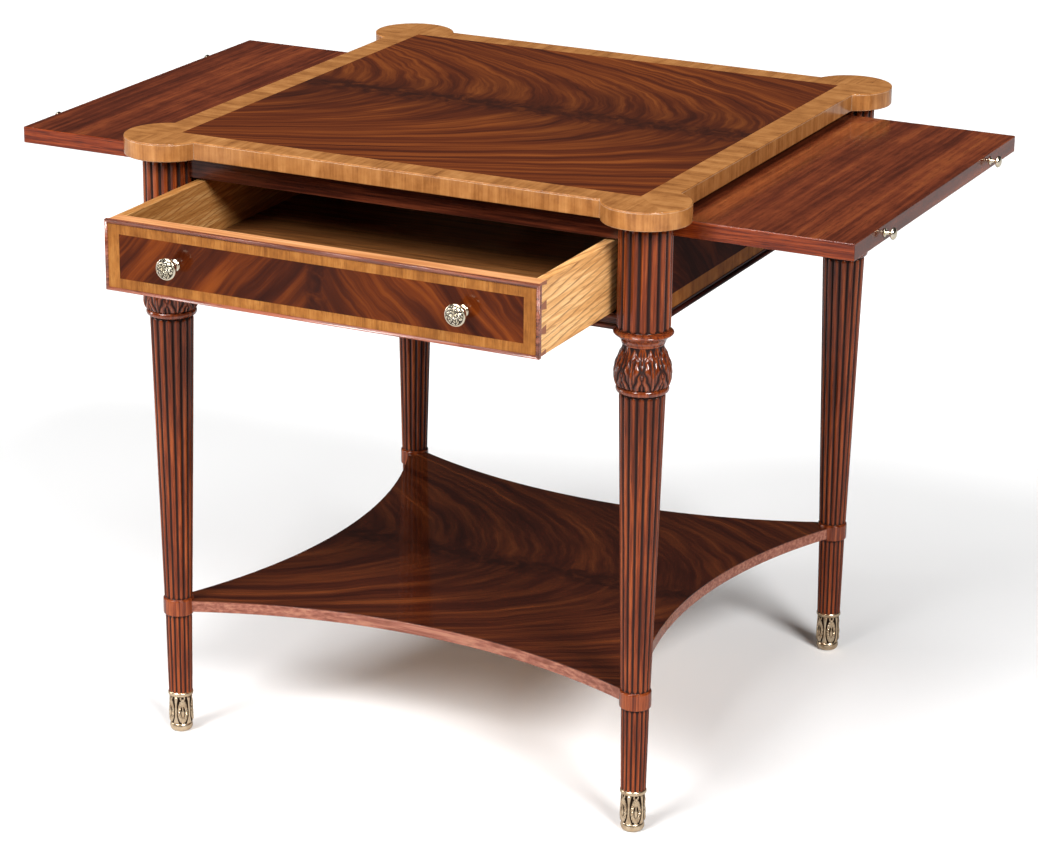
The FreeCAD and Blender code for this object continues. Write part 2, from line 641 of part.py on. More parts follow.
def build_frame():
    """Rails, apron work, legs, ferrules, dowels and the screws of the top."""
    above, below = front_rails()
    side_rail, side_field, side_band, side_bead = apron_side()
    back_rail, back_field, back_band, back_bead = apron_back()
    aprons = [above, below]
    for piece in (side_rail, side_field, side_band, side_bead):
        aprons.extend([piece, mirrored_x(piece)])
    aprons.extend([back_rail, back_field, back_band, back_bead])

    screws = []
    for x, y, head_z in top_screw_places():
        screws.append(screw(x, y, head_z, UNDER_TOP + SCREW_IN_TOP - RUN))
        hole = post(x, y, head_z, UNDER_TOP, SCREW_RADIUS + SNUG)
        if y < 0:
            above = above.cut(hole).cut(post(x, y, APRON_FOOT, head_z, SCREW_HEAD + RUN))
        else:
            deep = y + SCREW_HEAD + RUN
            pocket = box(x - 7.0, x + 7.0, INNER_Y, deep, head_z - 14.0, head_z)
            back_rail = back_rail.cut(hole).cut(pocket)

    save("front_top_rail", above)
    save("front_bottom_rail", below)
    save("back_rail", back_rail)
    save("side_rail_right", side_rail)
    save("side_rail_left", mirrored_x(side_rail))
    save("side_field_right", side_field)
    save("side_field_left", mirrored_x(side_field))
    save("back_field", back_field)
    save("apron_bands", [side_band, mirrored_x(side_band), back_band])
    save("apron_beads", [side_bead, mirrored_x(side_bead), back_bead])
    save("top_screws", screws)

    blank = leg_blank()
    foot = ferrule()
    dowels = []
    for end, sy in (("front", -1), ("back", 1)):
        for side, sx in (("left", -1), ("right", 1)):
            leg = placed(blank, sx * AX, sy * AY)
            for piece in aprons:
                if piece.BoundBox.intersect(leg.BoundBox):
                    leg = leg.cut(housing(piece))
            leg = leg.cut(shelf_seat_cut(sx, sy))
            leg = leg.cut(shelf_dowel(sx, sy, SHELF_DOWEL_RADIUS + SNUG, SHELF_DOWEL_LONG + 2 * RUN))
            save("leg_" + end + "_" + side, leg)
            save("ferrule_" + end + "_" + side, placed(foot, sx * AX, sy * AY))
            z0 = UNDER_TOP - DOWEL_LONG / 2
            dowels.append(post(sx * AX, sy * AY, z0, z0 + DOWEL_LONG, DOWEL_RADIUS))
    save("top_dowels", dowels)


def housing(piece):
    """Straight-sided room for a rail's end: its full section, and its tenons."""
    b = piece.BoundBox
    along_x = b.XLength > b.YLength
    end_x = min(RAIL_END_X, b.XMax)
    end_y = min(RAIL_END_Y, b.YMax)
    if along_x:
        body = box(-end_x, end_x, b.YMin, b.YMax, b.ZMin, b.ZMax)
    else:
        body = box(b.XMin, b.XMax, -end_y, end_y, b.ZMin, b.ZMax)
    rest = piece.cut(body)
    return [body] + [bounds_box(s) for s in rest.Solids]


# ---------------------------------------------------------------- drawer
def tail_room(sign, grow):
    """The dovetails of a drawer side, in front of its shoulder."""
    pitch = (DRAWER_Z1 - DRAWER_SIDE_Z0) / TAILS
    tails = []
    for i in range(TAILS):
        mid = DRAWER_SIDE_Z0 + (i + 0.5) * pitch
        narrow = pitch * TAIL_NARROW / 2
        wide = pitch * TAIL_WIDE / 2
        points = [V(0, FRONT_BACK_Y + grow, mid - narrow), V(0, FRONT_BACK_Y + grow, mid + narrow),
                  V(0, FRONT_BACK_Y - TAIL_LONG, mid + wide), V(0, FRONT_BACK_Y - TAIL_LONG, mid - wide)]
        face = Part.Face(Part.makePolygon(points + points[:1]))
        tail = face.extrude(V(DRAWER_SIDE, 0, 0))
        tail.translate(V(DRAWER_INSIDE if sign > 0 else -DRAWER_HALF, 0, 0))
        tails.append(tail)
    return tails


def drawer_side(sign):
    """Side with its dovetails, housing for the back and groove for the bottom."""
    x0, x1 = sorted((sign * DRAWER_INSIDE, sign * DRAWER_HALF))
    body = box(x0, x1, FRONT_BACK_Y, DRAWER_END_Y, DRAWER_SIDE_Z0, DRAWER_Z1)
    side = fused([body] + tail_room(sign, 0.0))
    back_y1 = DRAWER_END_Y - DRAWER_BACK_IN
    back_y0 = back_y1 - DRAWER_BACK
    in0, in1 = sorted((sign * DRAWER_INSIDE, sign * (DRAWER_INSIDE + DRAWER_BACK_HOUSED)))
    side = side.cut(box(in0, in1, back_y0, back_y1, PANEL_Z1, DRAWER_Z1 - DRAWER_BACK_LOW))
    in0, in1 = sorted((sign * DRAWER_INSIDE, sign * (DRAWER_INSIDE + DRAWER_GROOVE)))
    groove_y = FRONT_BACK_Y - DRAWER_GROOVE
    return side.cut(box(in0, in1, groove_y, DRAWER_END_Y, PANEL_Z0, PANEL_Z1))


def bead_strip(length):
    """Cockbead along X from the origin, its nose towards -Y and its outer edge up."""
    strip = box(-length / 2, length / 2, 0, COCKBEAD_DEEP, -COCKBEAD, 0)
    nose = [e for e in strip.Edges
            if abs(e.tangentAt(0).x) > 0.5 and e.CenterOfMass.y < COCKBEAD_DEEP / 2]
    return strip.makeFillet(COCKBEAD_NOSE, nose)


def build_drawer():
    """Dovetailed drawer with a veneered and beaded front."""
    inner_x = FRONT_HALF - COCKBEAD
    inner_z0 = DRAWER_Z0 + COCKBEAD
    inner_z1 = DRAWER_Z1 - COCKBEAD
    mid_z = (DRAWER_Z0 + DRAWER_Z1) / 2
    high = DRAWER_Z1 - DRAWER_Z0
    rebate_y = FRONT_Y + COCKBEAD_DEEP

    core = box(-DRAWER_HALF, DRAWER_HALF, CORE_Y, FRONT_BACK_Y, DRAWER_Z0, DRAWER_Z1)
    lip = box(-FRONT_HALF, FRONT_HALF, FRONT_Y, rebate_y, DRAWER_Z0, DRAWER_Z1)
    window = box(-inner_x, inner_x, FRONT_Y, rebate_y, inner_z0, inner_z1)
    core = core.cut(lip.cut(window))
    core = core.cut(tail_room(1, 0.0) + tail_room(-1, 0.0))
    groove_x = DRAWER_INSIDE + DRAWER_GROOVE
    core = core.cut(box(-groove_x, groove_x, FRONT_BACK_Y - DRAWER_GROOVE, FRONT_BACK_Y,
                        PANEL_Z0, PANEL_Z1))

    field_x = inner_x - DRAWER_BAND_SIDE
    field_z0 = inner_z0 + DRAWER_BAND_TOP
    field_z1 = inner_z1 - DRAWER_BAND_TOP
    field = box(-field_x, field_x, VENEER_Y, CORE_Y, field_z0, field_z1)
    frame_room = [
        [(-field_x, field_z1), (field_x, field_z1), (inner_x, inner_z1), (-inner_x, inner_z1)],
        [(-field_x, field_z0), (field_x, field_z0), (inner_x, inner_z0), (-inner_x, inner_z0)],
        [(field_x, field_z0), (field_x, field_z1), (inner_x, inner_z1), (inner_x, inner_z0)],
        [(-field_x, field_z0), (-field_x, field_z1), (-inner_x, inner_z1), (-inner_x, inner_z0)],
    ]
    bands = [upright_prism(points, VENEER_Y, CORE_Y) for points in frame_room]

    reach = COCKBEAD
    rooms = [
        [(-inner_x, inner_z1), (inner_x, inner_z1), (inner_x + reach, inner_z1 + reach),
         (-inner_x - reach, inner_z1 + reach)],
        [(-inner_x, inner_z0), (inner_x, inner_z0), (inner_x + reach, inner_z0 - reach),
         (-inner_x - reach, inner_z0 - reach)],
        [(inner_x, inner_z0), (inner_x, inner_z1), (inner_x + reach, inner_z1 + reach),
         (inner_x + reach, inner_z0 - reach)],
        [(-inner_x, inner_z0), (-inner_x, inner_z1), (-inner_x - reach, inner_z1 + reach),
         (-inner_x - reach, inner_z0 - reach)],
    ]
    beads = []
    for room, length, angle, x, z in (
            (rooms[0], 2 * FRONT_HALF, 0, 0.0, DRAWER_Z1),
            (rooms[1], 2 * FRONT_HALF, 180, 0.0, DRAWER_Z0),
            (rooms[2], high, 90, FRONT_HALF, mid_z),
            (rooms[3], high, -90, -FRONT_HALF, mid_z)):
        strip = bead_strip(length)
        strip.rotate(V(0, 0, 0), V(0, 1, 0), angle)
        strip.translate(V(x, FRONT_Y, z))
        beads.append(strip.common(upright_prism(room, FRONT_Y, rebate_y)))

    knobs = {}
    screws = []
    for side, sign in (("left", -1), ("right", 1)):
        x = sign * DRAWER_KNOB_HALF
        hole = rod(V(x, VENEER_Y, KNOB_Z), V(0, 1, 0), DRAWER_FRONT, KNOB_SCREW_RADIUS + SNUG)
        core = core.cut(hole)
        field = field.cut(hole)
        knobs[side] = facing(drawer_knob(), V(0, -1, 0), x, VENEER_Y, KNOB_Z)
        tip = V(x, VENEER_Y - KNOB_SCREW_IN_KNOB + RUN, KNOB_Z)
        length = FRONT_BACK_Y - tip.y
        shank = rod(tip, V(0, 1, 0), length, KNOB_SCREW_RADIUS)
        head = rod(V(x, FRONT_BACK_Y, KNOB_Z), V(0, 1, 0), KNOB_SCREW_HEAD_HIGH, KNOB_SCREW_HEAD)
        screws.append(fused([shank, head]))

    back_x = DRAWER_INSIDE + DRAWER_BACK_HOUSED
    back_y1 = DRAWER_END_Y - DRAWER_BACK_IN
    back_y0 = back_y1 - DRAWER_BACK
    back = box(-back_x, back_x, back_y0, back_y1, PANEL_Z1, DRAWER_Z1 - DRAWER_BACK_LOW)
    panel_x = groove_x - DRAWER_BOTTOM_PLAY
    panel_y = FRONT_BACK_Y - DRAWER_GROOVE + DRAWER_BOTTOM_PLAY
    panel = box(-panel_x, panel_x, panel_y, back_y1, PANEL_Z0, PANEL_Z1)
    panel_screws = []
    for x in (-SCREW_SPACING, 0.0, SCREW_SPACING):
        y = (back_y0 + back_y1) / 2
        head_z = PANEL_Z0 + SCREW_HEAD_HIGH
        panel_screws.append(screw(x, y, head_z, PANEL_Z1 + SCREW_IN_TOP - RUN))
        hole = post(x, y, PANEL_Z0, PANEL_Z1 + SCREW_IN_TOP, SCREW_RADIUS + SNUG)
        back = back.cut(hole)
        panel = panel.cut(hole).cut(post(x, y, PANEL_Z0, head_z, SCREW_HEAD + SNUG))

    save("drawer_front", core)
    save("drawer_field", field)
    save("drawer_crossband", bands)
    save("drawer_cockbead", beads)
    save("drawer_side_left", drawer_side(-1))
    save("drawer_side_right", drawer_side(1))
    save("drawer_back", back)
    save("drawer_bottom", panel)
    save("drawer_bottom_screws", panel_screws)
    save("drawer_knob_left", knobs["left"])
    save("drawer_knob_right", knobs["right"])
    save("drawer_knob_screws", screws)


def upright_prism(points, y0, y1):
    """Prism on an outline of (x, z) points, from y0 to y1."""
    corners = [V(x, y0, z) for x, z in points]
    face = Part.Face(Part.makePolygon(corners + corners[:1]))
    return face.extrude(V(0, y1 - y0, 0))


def drawer_knob():
    """Brass knob: rose, waisted stem and thick domed head, with its screw hole."""
    knob = turned(outline([
        (0.0, 0.0),
        (6.8, 0.0),
        (6.8, 1.4),
        (4.2, 3.6, 5.0, 2.0),
        (3.8, 8.0),
        (6.4, 10.6, 4.4, 9.9),
        (10.6, 12.0),
        (12.0, 14.2),
        (12.0, 16.4),
        (10.8, 18.4),
        (0.8, 22.4, 6.2, 21.4),
        (0.0, 22.4),
    ]))
    return knob.cut(post(0, 0, 0, KNOB_SCREW_IN_KNOB, KNOB_SCREW_RADIUS + SNUG))


# ---------------------------------------------------------------- side slides
def slide_knob():
    """Small brass pull with a stud that enters the slide's edge."""
    pull = turned(outline([
        (0.0, 0.0),
        (4.6, 0.0),
        (4.6, 1.2),
        (2.3, 3.0, 2.8, 1.8),
        (2.1, 6.0),
        (3.4, 7.4, 2.4, 7.0),
        (6.0, 8.2),
        (6.5, 9.8),
        (5.6, 11.6),
        (0.4, 13.2, 3.2, 12.7),
        (0.0, 13.2),
    ]))
    stud = post(0, 0, -SLIDE_KNOB_STUD_LONG, 0, SLIDE_KNOB_STUD)
    return fused([pull, stud])


def build_slides():
    """Board, pulls and stop pegs of the right slide, and the same for the left."""
    board = box(SLIDE_INNER, SLIDE_OUTER, -SLIDE_HALF_Y, SLIDE_HALF_Y, SLIDE_Z0, SLIDE_Z1)
    board = board.makeFillet(ARRIS, board.Edges)
    level = (SLIDE_Z0 + SLIDE_Z1) / 2
    knobs = []
    pegs = []
    for sign in (-1, 1):
        y = sign * SLIDE_KNOB_HALF
        knobs.append(facing(slide_knob(), V(1, 0, 0), SLIDE_OUTER, y, level))
        inside = V(SLIDE_OUTER - SLIDE_KNOB_STUD_LONG - RUN, y, level)
        board = board.cut(rod(inside, V(1, 0, 0), 2 * SLIDE_KNOB_STUD_LONG, SLIDE_KNOB_STUD + SNUG))
        x = SLIDE_INNER + STOP_PEG_IN
        y = sign * STOP_PEG_HALF
        foot = SLIDE_Z1 - STOP_PEG_DEEP
        pegs.append(post(x, y, foot, UNDER_TOP - RUN, STOP_PEG_RADIUS))
        board = board.cut(post(x, y, foot, UNDER_TOP, STOP_PEG_RADIUS + SNUG))
    for name, pieces in (("slide_board", [board]), ("slide_knobs", knobs), ("slide_pegs", pegs)):
        save(name + "_right", pieces)
        save(name + "_left", [mirrored_x(piece) for piece in pieces])


build_top()
build_frame()
build_inside()
build_shelf()
build_drawer()
build_slides()
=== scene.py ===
import math

import bmesh
import bpy
from mathutils import Matrix, Vector


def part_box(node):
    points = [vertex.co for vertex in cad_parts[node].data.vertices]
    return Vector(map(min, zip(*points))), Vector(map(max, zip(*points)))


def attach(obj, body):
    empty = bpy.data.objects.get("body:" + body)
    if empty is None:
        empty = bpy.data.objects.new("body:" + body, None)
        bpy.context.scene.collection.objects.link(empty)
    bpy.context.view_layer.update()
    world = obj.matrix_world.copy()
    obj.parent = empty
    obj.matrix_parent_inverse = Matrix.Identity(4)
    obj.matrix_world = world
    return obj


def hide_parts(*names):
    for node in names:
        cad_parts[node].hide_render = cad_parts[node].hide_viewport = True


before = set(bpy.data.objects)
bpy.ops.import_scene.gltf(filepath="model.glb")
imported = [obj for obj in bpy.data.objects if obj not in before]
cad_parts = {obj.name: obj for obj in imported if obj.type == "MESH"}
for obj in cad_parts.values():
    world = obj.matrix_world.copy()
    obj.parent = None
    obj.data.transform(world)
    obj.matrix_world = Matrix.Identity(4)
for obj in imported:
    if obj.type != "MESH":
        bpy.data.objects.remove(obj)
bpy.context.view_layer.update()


# ------------------------------------------------------------------ studio
# A pale floor swept clear round the table, two broad floods in front, one a
# little to the left and one to the right, and soft boxes overhead and at the side.

view_from = Vector((1.6957, -3.4397, 1.6622))
view_turn = math.radians(26.2012)
view_tilt = math.radians(19.1989)
view_roll = math.radians(0.6071)

back = Vector((math.sin(view_turn) * math.cos(view_tilt),
               -math.cos(view_turn) * math.cos(view_tilt),
               math.sin(view_tilt)))
right = Vector((math.cos(view_turn), math.sin(view_turn), 0.0))
up = back.cross(right)
level_right = math.cos(view_roll) * right + math.sin(view_roll) * up
level_up = math.cos(view_roll) * up - math.sin(view_roll) * right

camera_data = bpy.data.cameras.new("studio_camera")
camera_data.lens = 120.68
camera_data.sensor_width = 36.0
camera_data.clip_end = 60.0
camera = bpy.data.objects.new("studio_camera", camera_data)
camera.matrix_world = Matrix.Translation(view_from) @ Matrix(
    (level_right, level_up, back)).transposed().to_4x4()
bpy.context.scene.collection.objects.link(camera)
bpy.context.scene.camera = camera
bpy.context.scene.view_settings.view_transform = "Standard"


def shade(code):
    """Linear colour from a hexadecimal screen colour."""
    parts = [int(code[i:i + 2], 16) / 255 for i in (1, 3, 5)]
    linear = [p / 12.92 if p < 0.04045 else ((p + 0.055) / 1.055) ** 2.4 for p in parts]
    return (*linear, 1.0)


def put(tree, kind, sockets=None, **settings):
    """Add a node, set its settings and fill or link its sockets."""
    made = tree.nodes.new("ShaderNode" + kind)
    for key, value in settings.items():
        setattr(made, key, value)
    for key, value in (sockets or {}).items():
        if isinstance(value, bpy.types.NodeSocket):
            tree.links.new(value, made.inputs[key])
        else:
            made.inputs[key].default_value = value
    return made


def spread(tree, value, low, high, to_low=0.0, to_high=1.0):
    """Output of a clamped, smooth change of range."""
    sockets = {"Value": value, "From Min": low, "From Max": high,
               "To Min": to_low, "To Max": to_high}
    return put(tree, "MapRange", sockets, interpolation_type="SMOOTHSTEP").outputs[0]


def blend(tree, factor, first, second):
    """Colour output of a Mix node, which has its two colours at sockets 6 and 7."""
    return put(tree, "Mix", {"Factor": factor, 6: first, 7: second},
               data_type="RGBA", clamp_factor=True).outputs[2]


def new_material(name, **finish):
    """Material with one Principled shader, its plain finish values on its own sockets."""
    made = bpy.data.materials.new(name)
    made.use_nodes = True
    tree = made.node_tree
    shader = tree.nodes["Principled BSDF"]
    for key, value in finish.items():
        shader.inputs[key.replace("_", " ")].default_value = value
    return made, tree, shader


floor_mesh = bpy.data.meshes.new("studio_floor")
shape = bmesh.new()
bmesh.ops.create_grid(shape, x_segments=1, y_segments=1, size=14.0)
shape.to_mesh(floor_mesh)
shape.free()
floor = bpy.data.objects.new("studio_floor", floor_mesh)
bpy.context.scene.collection.objects.link(floor)
floor_paint, tree, shader = new_material("floor_paint", Roughness=0.6, Specular_IOR_Level=0.2)
cloudy = put(tree, "TexNoise", {"Scale": 0.4, "Detail": 2.0})
paint = blend(tree, spread(tree, cloudy.outputs["Fac"], 0.3, 0.7),
              shade("#f8f8f8"), shade("#fcfcfc"))
# The lacquer mirrors a darker floor, so that upright faces keep their depth.
mirrored = put(tree, "LightPath").outputs["Is Glossy Ray"]
tree.links.new(blend(tree, mirrored, paint, shade("#b4b4b4")), shader.inputs["Base Color"])
floor_mesh.materials.append(floor_paint)


def soft_light(name, place, aim, size, power):
    """Square soft box at a place, turned to an aim point."""
    data = bpy.data.lights.new(name, "AREA")
    data.shape = "RECTANGLE"
    data.size, data.size_y = size
    data.energy = power
    lamp = bpy.data.objects.new(name, data)
    lamp.location = place
    lamp.rotation_euler = (Vector(place) - Vector(aim)).to_track_quat("Z", "Y").to_euler()
    bpy.context.scene.collection.objects.link(lamp)


soft_light("overhead", (-0.4, -0.8, 3.6), (0.0, 0.0, 0.4), (2.4, 2.4), 60)
soft_light("strip_left", (-3.2, -1.2, 1.3), (0.0, 0.0, 0.45), (0.7, 1.8), 30)

for name, heading, strength, wide_deg in (("flood_left", (-0.29, -0.96, 0.80), 3.0, 26),
                                          ("flood_right", (0.81, -0.59, 0.74), 3.2, 20)):
    flood = bpy.data.lights.new(name, "SUN")
    flood.energy = strength
    flood.angle = math.radians(wide_deg)
    stand = bpy.data.objects.new(name, flood)
    stand.rotation_euler = Vector(heading).to_track_quat("Z", "Y").to_euler()
    bpy.context.scene.collection.objects.link(stand)

# The air is pale where the camera looks past the floor, and dim as a light.
air_dim = 0.05
air_pale = 1.4
world = bpy.data.worlds.new("studio_air")
world.use_nodes = True
air = world.node_tree
backdrop = air.nodes["Background"]
backdrop.inputs["Color"].default_value = shade("#d6d4d2")
seen = put(air, "LightPath").outputs["Is Camera Ray"]
air.links.new(spread(air, seen, 0.0, 1.0, air_dim, air_pale), backdrop.inputs["Strength"])
bpy.context.scene.world = world


# ------------------------------------------------------------------ legs
# Each leg is turned from one length of mahogany.  Sixteen reeds run down the block
# and the tapered shaft, and eight acanthus leaves are carved on the bulb.  Dark
# glaze lies in the hollows, with painted shade that darkens the flanks of the reeds
# and the creases of the leaves, and the round work has a glossier coat of lacquer.

reed_count = 16
leaf_count = 8
around = 256
leg_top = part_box("leg_front_left")[1].z
apron_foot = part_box("front_bottom_rail")[0].z
shelf_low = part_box("shelf_board")[0].z
shelf_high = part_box("shelf_veneer")[1].z
foot_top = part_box("ferrule_front_left")[1].z

collar_z0 = apron_foot - 0.0065
collar_z1 = collar_z0 + 0.0135
bulb_z0 = collar_z0 - 0.049
bulb_z1 = collar_z0 - 0.004
ring_z0 = bulb_z0 - 0.0064
seat_z0 = shelf_low - 0.003
seat_z1 = shelf_high + 0.003
block_radius = 0.0285
shaft_top_radius = 0.0246
shaft_seat_radius = 0.0163
foot_seat_radius = 0.0153
foot_radius = 0.0139
leg_core = 0.011            # nothing is carved nearer the middle than this
valley = 0.905              # floor of the hollows, as a part of the crown
block_valley = block_radius * valley
shaft_top_valley = shaft_top_radius * valley
shaft_seat_valley = shaft_seat_radius * valley
foot_seat_valley = foot_seat_radius * valley
foot_valley = foot_radius * valley
seat_coat = 0.35            # coat on the collar at the shelf, as a part of the bulb's
reed_fill = 0.90            # width of a reed, as a part of its spacing
tip = 0.0045                # round end of a reed
ground_rise = -0.0004       # ground between the leaves, in metres
# The ground between the leaves takes dark glaze and painted shade.
ground_glaze_and_shade = 0.85
# Leaves in front, then behind: turn and height and width as shares, and lift in metres.
leaf_sets = ((0.0, 0.98, 0.50, 0.0024), (0.5, 1.20, 0.34, 0.0014))


def stepped(points, gap):
    """Straight run between (radius, height) points, cut to at most a gap."""
    rows = [points[0]]
    for (r0, z0), (r1, z1) in zip(points, points[1:]):
        count = max(1, math.ceil(math.hypot(r1 - r0, z1 - z0) / gap))
        rows += [(r0 + (r1 - r0) * i / count, z0 + (z1 - z0) * i / count)
                 for i in range(1, count + 1)]
    return rows


def curved(points, gap):
    """Smooth curve through (radius, height) points, cut to about a gap."""
    ends = [points[0]] + list(points) + [points[-1]]
    rows = [points[0]]
    for a, b, c, d in zip(ends, ends[1:], ends[2:], ends[3:]):
        count = max(1, math.ceil(math.dist(b, c) / gap))
        for i in range(1, count + 1):
            t = i / count
            rows.append(tuple(
                0.5 * (2 * q + (s - p) * t + (2 * p - 5 * q + 4 * s - w) * t * t
                       + (3 * q - p - 3 * s + w) * t ** 3)
                for p, q, s, w in zip(a, b, c, d)))
    return rows


def turn_shape(rows, steps):
    """Closed bmesh turned about +Z from rows of (radius, height)."""
    made = bmesh.new()
    chain = [made.verts.new((r, 0.0, z)) for r, z in rows]
    for a, b in zip(chain, chain[1:]):
        made.edges.new((a, b))
    bmesh.ops.spin(made, geom=made.verts[:] + made.edges[:], cent=(0, 0, 0), axis=(0, 0, 1),
                   dvec=(0, 0, 0), angle=2 * math.pi, steps=steps, use_merge=True,
                   use_normal_flip=False, use_duplicate=False)
    bmesh.ops.remove_doubles(made, verts=made.verts, dist=1e-6)
    bmesh.ops.recalc_face_normals(made, faces=made.faces)
    return made


def add_piece(name, shape, material, body, replaced, move=None):
    """Make an object of a bmesh, put its place in its mesh and tie it to the frame."""
    mesh = bpy.data.meshes.new(name)
    shape.to_mesh(mesh)
    for face in mesh.polygons:
        face.use_smooth = True
    if move:
        mesh.transform(move)
    mesh.materials.append(material)
    piece = bpy.data.objects.new(name, mesh)
    bpy.context.scene.collection.objects.link(piece)
    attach(piece, body)
    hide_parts(*replaced)
    return piece


def reed_rise(angle, height, low, high, low_tip, high_tip):
    """Rise of the reeds, from 0 in a hollow to 1 on a crown."""
    width = 0.5 * reed_fill
    for near, long in ((height - low, low_tip), (high - height, high_tip)):
        if long and near < long:
            if near <= 0:
                return 0.0
            width *= math.sqrt(1 - (1 - near / long) ** 2)
    place = abs((angle * reed_count / (2 * math.pi) + 0.5) % 1.0 - 0.5)
    if place >= width:
        return 0.0
    return (1 - (place / width) ** 2) ** 0.85 * min(1.0, 0.35 + 0.65 * width / (0.5 * reed_fill))


def leaf_cut(place, share, tall, wide, lift):
    """Rise, and dark glaze with painted shade, of one leaf, or None off it.  Place is -0.5 to 0.5
    across its sector.
    """
    up_leaf = share / tall
    if up_leaf >= 1.0:
        return None
    half = wide * math.sin(math.pi * (0.25 + 0.70 * up_leaf)) ** 0.6 * math.sqrt(1 - up_leaf ** 5)
    half *= 1 + 0.10 * math.cos(8 * math.pi * up_leaf)
    across = abs(place) / max(half, 1e-6)
    if across >= 1.0:
        return None
    flute = abs(math.sin(math.pi * (1.9 * up_leaf - 1.35 * across + 0.12))) ** 0.8
    curl = math.exp(-((up_leaf - 0.84) / 0.10) ** 2)
    beside_rib = math.exp(-((abs(place) - 0.075) / 0.028) ** 2) * (1 - 0.6 * curl)
    rise = lift * (1 - across ** 4) ** 0.5 * (0.35 + 0.65 * max(flute, 0.8 * curl))
    rise -= 0.0007 * beside_rib
    rise += 0.0007 * math.exp(-(place / 0.04) ** 2) + 0.0014 * curl * (1 - across ** 2)
    between = (1 - flute) ** 0.8 * min(1.0, 4 * across) * (1 - 0.6 * curl)
    return rise, max(between, 0.8 * beside_rib, across ** 7)


def leaf_rise(angle, share):
    """Carving of the bulb: rise in metres, and how much dark glaze and painted shade lies there."""
    rise, dark = ground_rise, ground_glaze_and_shade
    for offset, tall, wide, lift in leaf_sets:
        place = (angle * leaf_count / (2 * math.pi) + offset + 0.5) % 1.0 - 0.5
        cut = leaf_cut(place, share, tall, wide, lift)
        if cut:
            rise, dark = cut
            break
    ends = max(0.0, min(1.0, share / 0.04, (1.0 - share) / 0.26))
    return rise * ends, dark


leg_rows = (
    stepped([(0.006, foot_top - 0.001), (foot_valley, foot_top - 0.001)], 0.004)
    + stepped([(foot_valley, foot_top), (foot_seat_valley, seat_z0 - tip)], 0.006)
    + stepped([(foot_seat_valley, seat_z0 - tip + 0.0005), (foot_seat_valley, seat_z0)], 0.0006)
    + curved([(0.0162, seat_z0 + 0.0001), (0.0172, seat_z0 + 0.0008), (0.01745, seat_z0 + 0.003),
              (0.0175, (seat_z0 + seat_z1) / 2), (0.01745, seat_z1 - 0.002),
              (0.0170, seat_z1 - 0.0004), (0.0160, seat_z1)], 0.001)
    + stepped([(shaft_seat_valley, seat_z1 + 0.0003),
               (shaft_seat_valley, seat_z1 + tip)], 0.0005)
    + stepped([(shaft_seat_valley, seat_z1 + tip + 0.0005),
               (shaft_top_valley, ring_z0 - 0.0020 - tip)], 0.012)
    + stepped([(shaft_top_valley, ring_z0 - 0.0015 - tip),
               (shaft_top_valley, ring_z0 - 0.0012)], 0.0005)
    + curved([(0.0246, ring_z0), (0.0274, ring_z0 + 0.0006), (0.0284, ring_z0 + 0.0032),
              (0.0276, bulb_z0 - 0.0006), (0.0262, bulb_z0)], 0.0007)
    + curved([(0.0258, bulb_z0 + 0.0002), (0.0282, bulb_z0 + 0.0060), (0.0291, bulb_z0 + 0.0145),
              (0.0281, bulb_z0 + 0.0235), (0.0247, bulb_z0 + 0.0315), (0.0221, bulb_z0 + 0.0385),
              (0.0216, bulb_z1)], 0.0006)
    + curved([(0.0217, bulb_z1 + 0.0002), (0.0228, bulb_z1 + 0.0010), (0.0231, bulb_z1 + 0.0022),
              (0.0227, bulb_z1 + 0.0032)], 0.0006)
    + curved([(0.0240, collar_z0 + 0.0002), (0.0252, collar_z0 + 0.0026),
              (0.0280, collar_z0 + 0.0056), (0.0311, collar_z0 + 0.0078),
              (0.0320, collar_z0 + 0.0092), (0.0316, collar_z0 + 0.0102),
              (0.0296, collar_z0 + 0.0116), (block_valley, collar_z1 - 0.0004)], 0.0007)
    + stepped([(block_valley, collar_z1), (block_valley, collar_z1 + tip)], 0.0005)
    + stepped([(block_valley, collar_z1 + tip + 0.0005), (block_valley, leg_top)], 0.012)
    + stepped([(block_valley, leg_top), (0.006, leg_top)], 0.006)
)

leg_shape = turn_shape(leg_rows, around)
bmesh.ops.holes_fill(leg_shape, edges=[e for e in leg_shape.edges if e.is_boundary], sides=0)
glaze_and_shade = leg_shape.verts.layers.float.new("hollow")
round_work = leg_shape.verts.layers.float.new("round_work")
# Runs of reeds: lowest and highest point, and the length of their round ends there.
reeded_runs = (
    (foot_top - 0.01, seat_z0 - 0.0006, 0.0, tip),
    (seat_z1 + 0.0006, ring_z0 - 0.0016, tip, tip),
    (collar_z1 - 0.0002, leg_top + 0.01, tip, 0.0),
)
for vert in leg_shape.verts:
    x, y, z = vert.co
    radius = math.hypot(x, y)
    angle = math.atan2(y, x)
    vert[glaze_and_shade] = 0.0
    on_round_work = ring_z0 - 0.001 < z < collar_z1 - 0.0002
    vert[round_work] = 1.0 if on_round_work else seat_coat * (seat_z0 < z < seat_z1)
    if radius < leg_core:
        continue
    for low, high, low_tip, high_tip in reeded_runs:
        if low < z < high:
            rise = reed_rise(angle, z, low, high, low_tip, high_tip)
            # Glaze and painted shade: each reed grows darker down its flanks into the hollow.
            vert[glaze_and_shade] = 1.0 - rise
            radius *= 1 + (1 / valley - 1) * rise
    if bulb_z0 < z < bulb_z1:
        rise, vert[glaze_and_shade] = leaf_rise(angle, (z - bulb_z0) / (bulb_z1 - bulb_z0))
        radius += rise
    vert.co.x = radius * math.cos(angle)
    vert.co.y = radius * math.sin(angle)


def maths(tree, operation, first, second=0.0):
    """Output of a Math node."""
    return put(tree, "Math", {0: first, 1: second}, operation=operation).outputs[0]


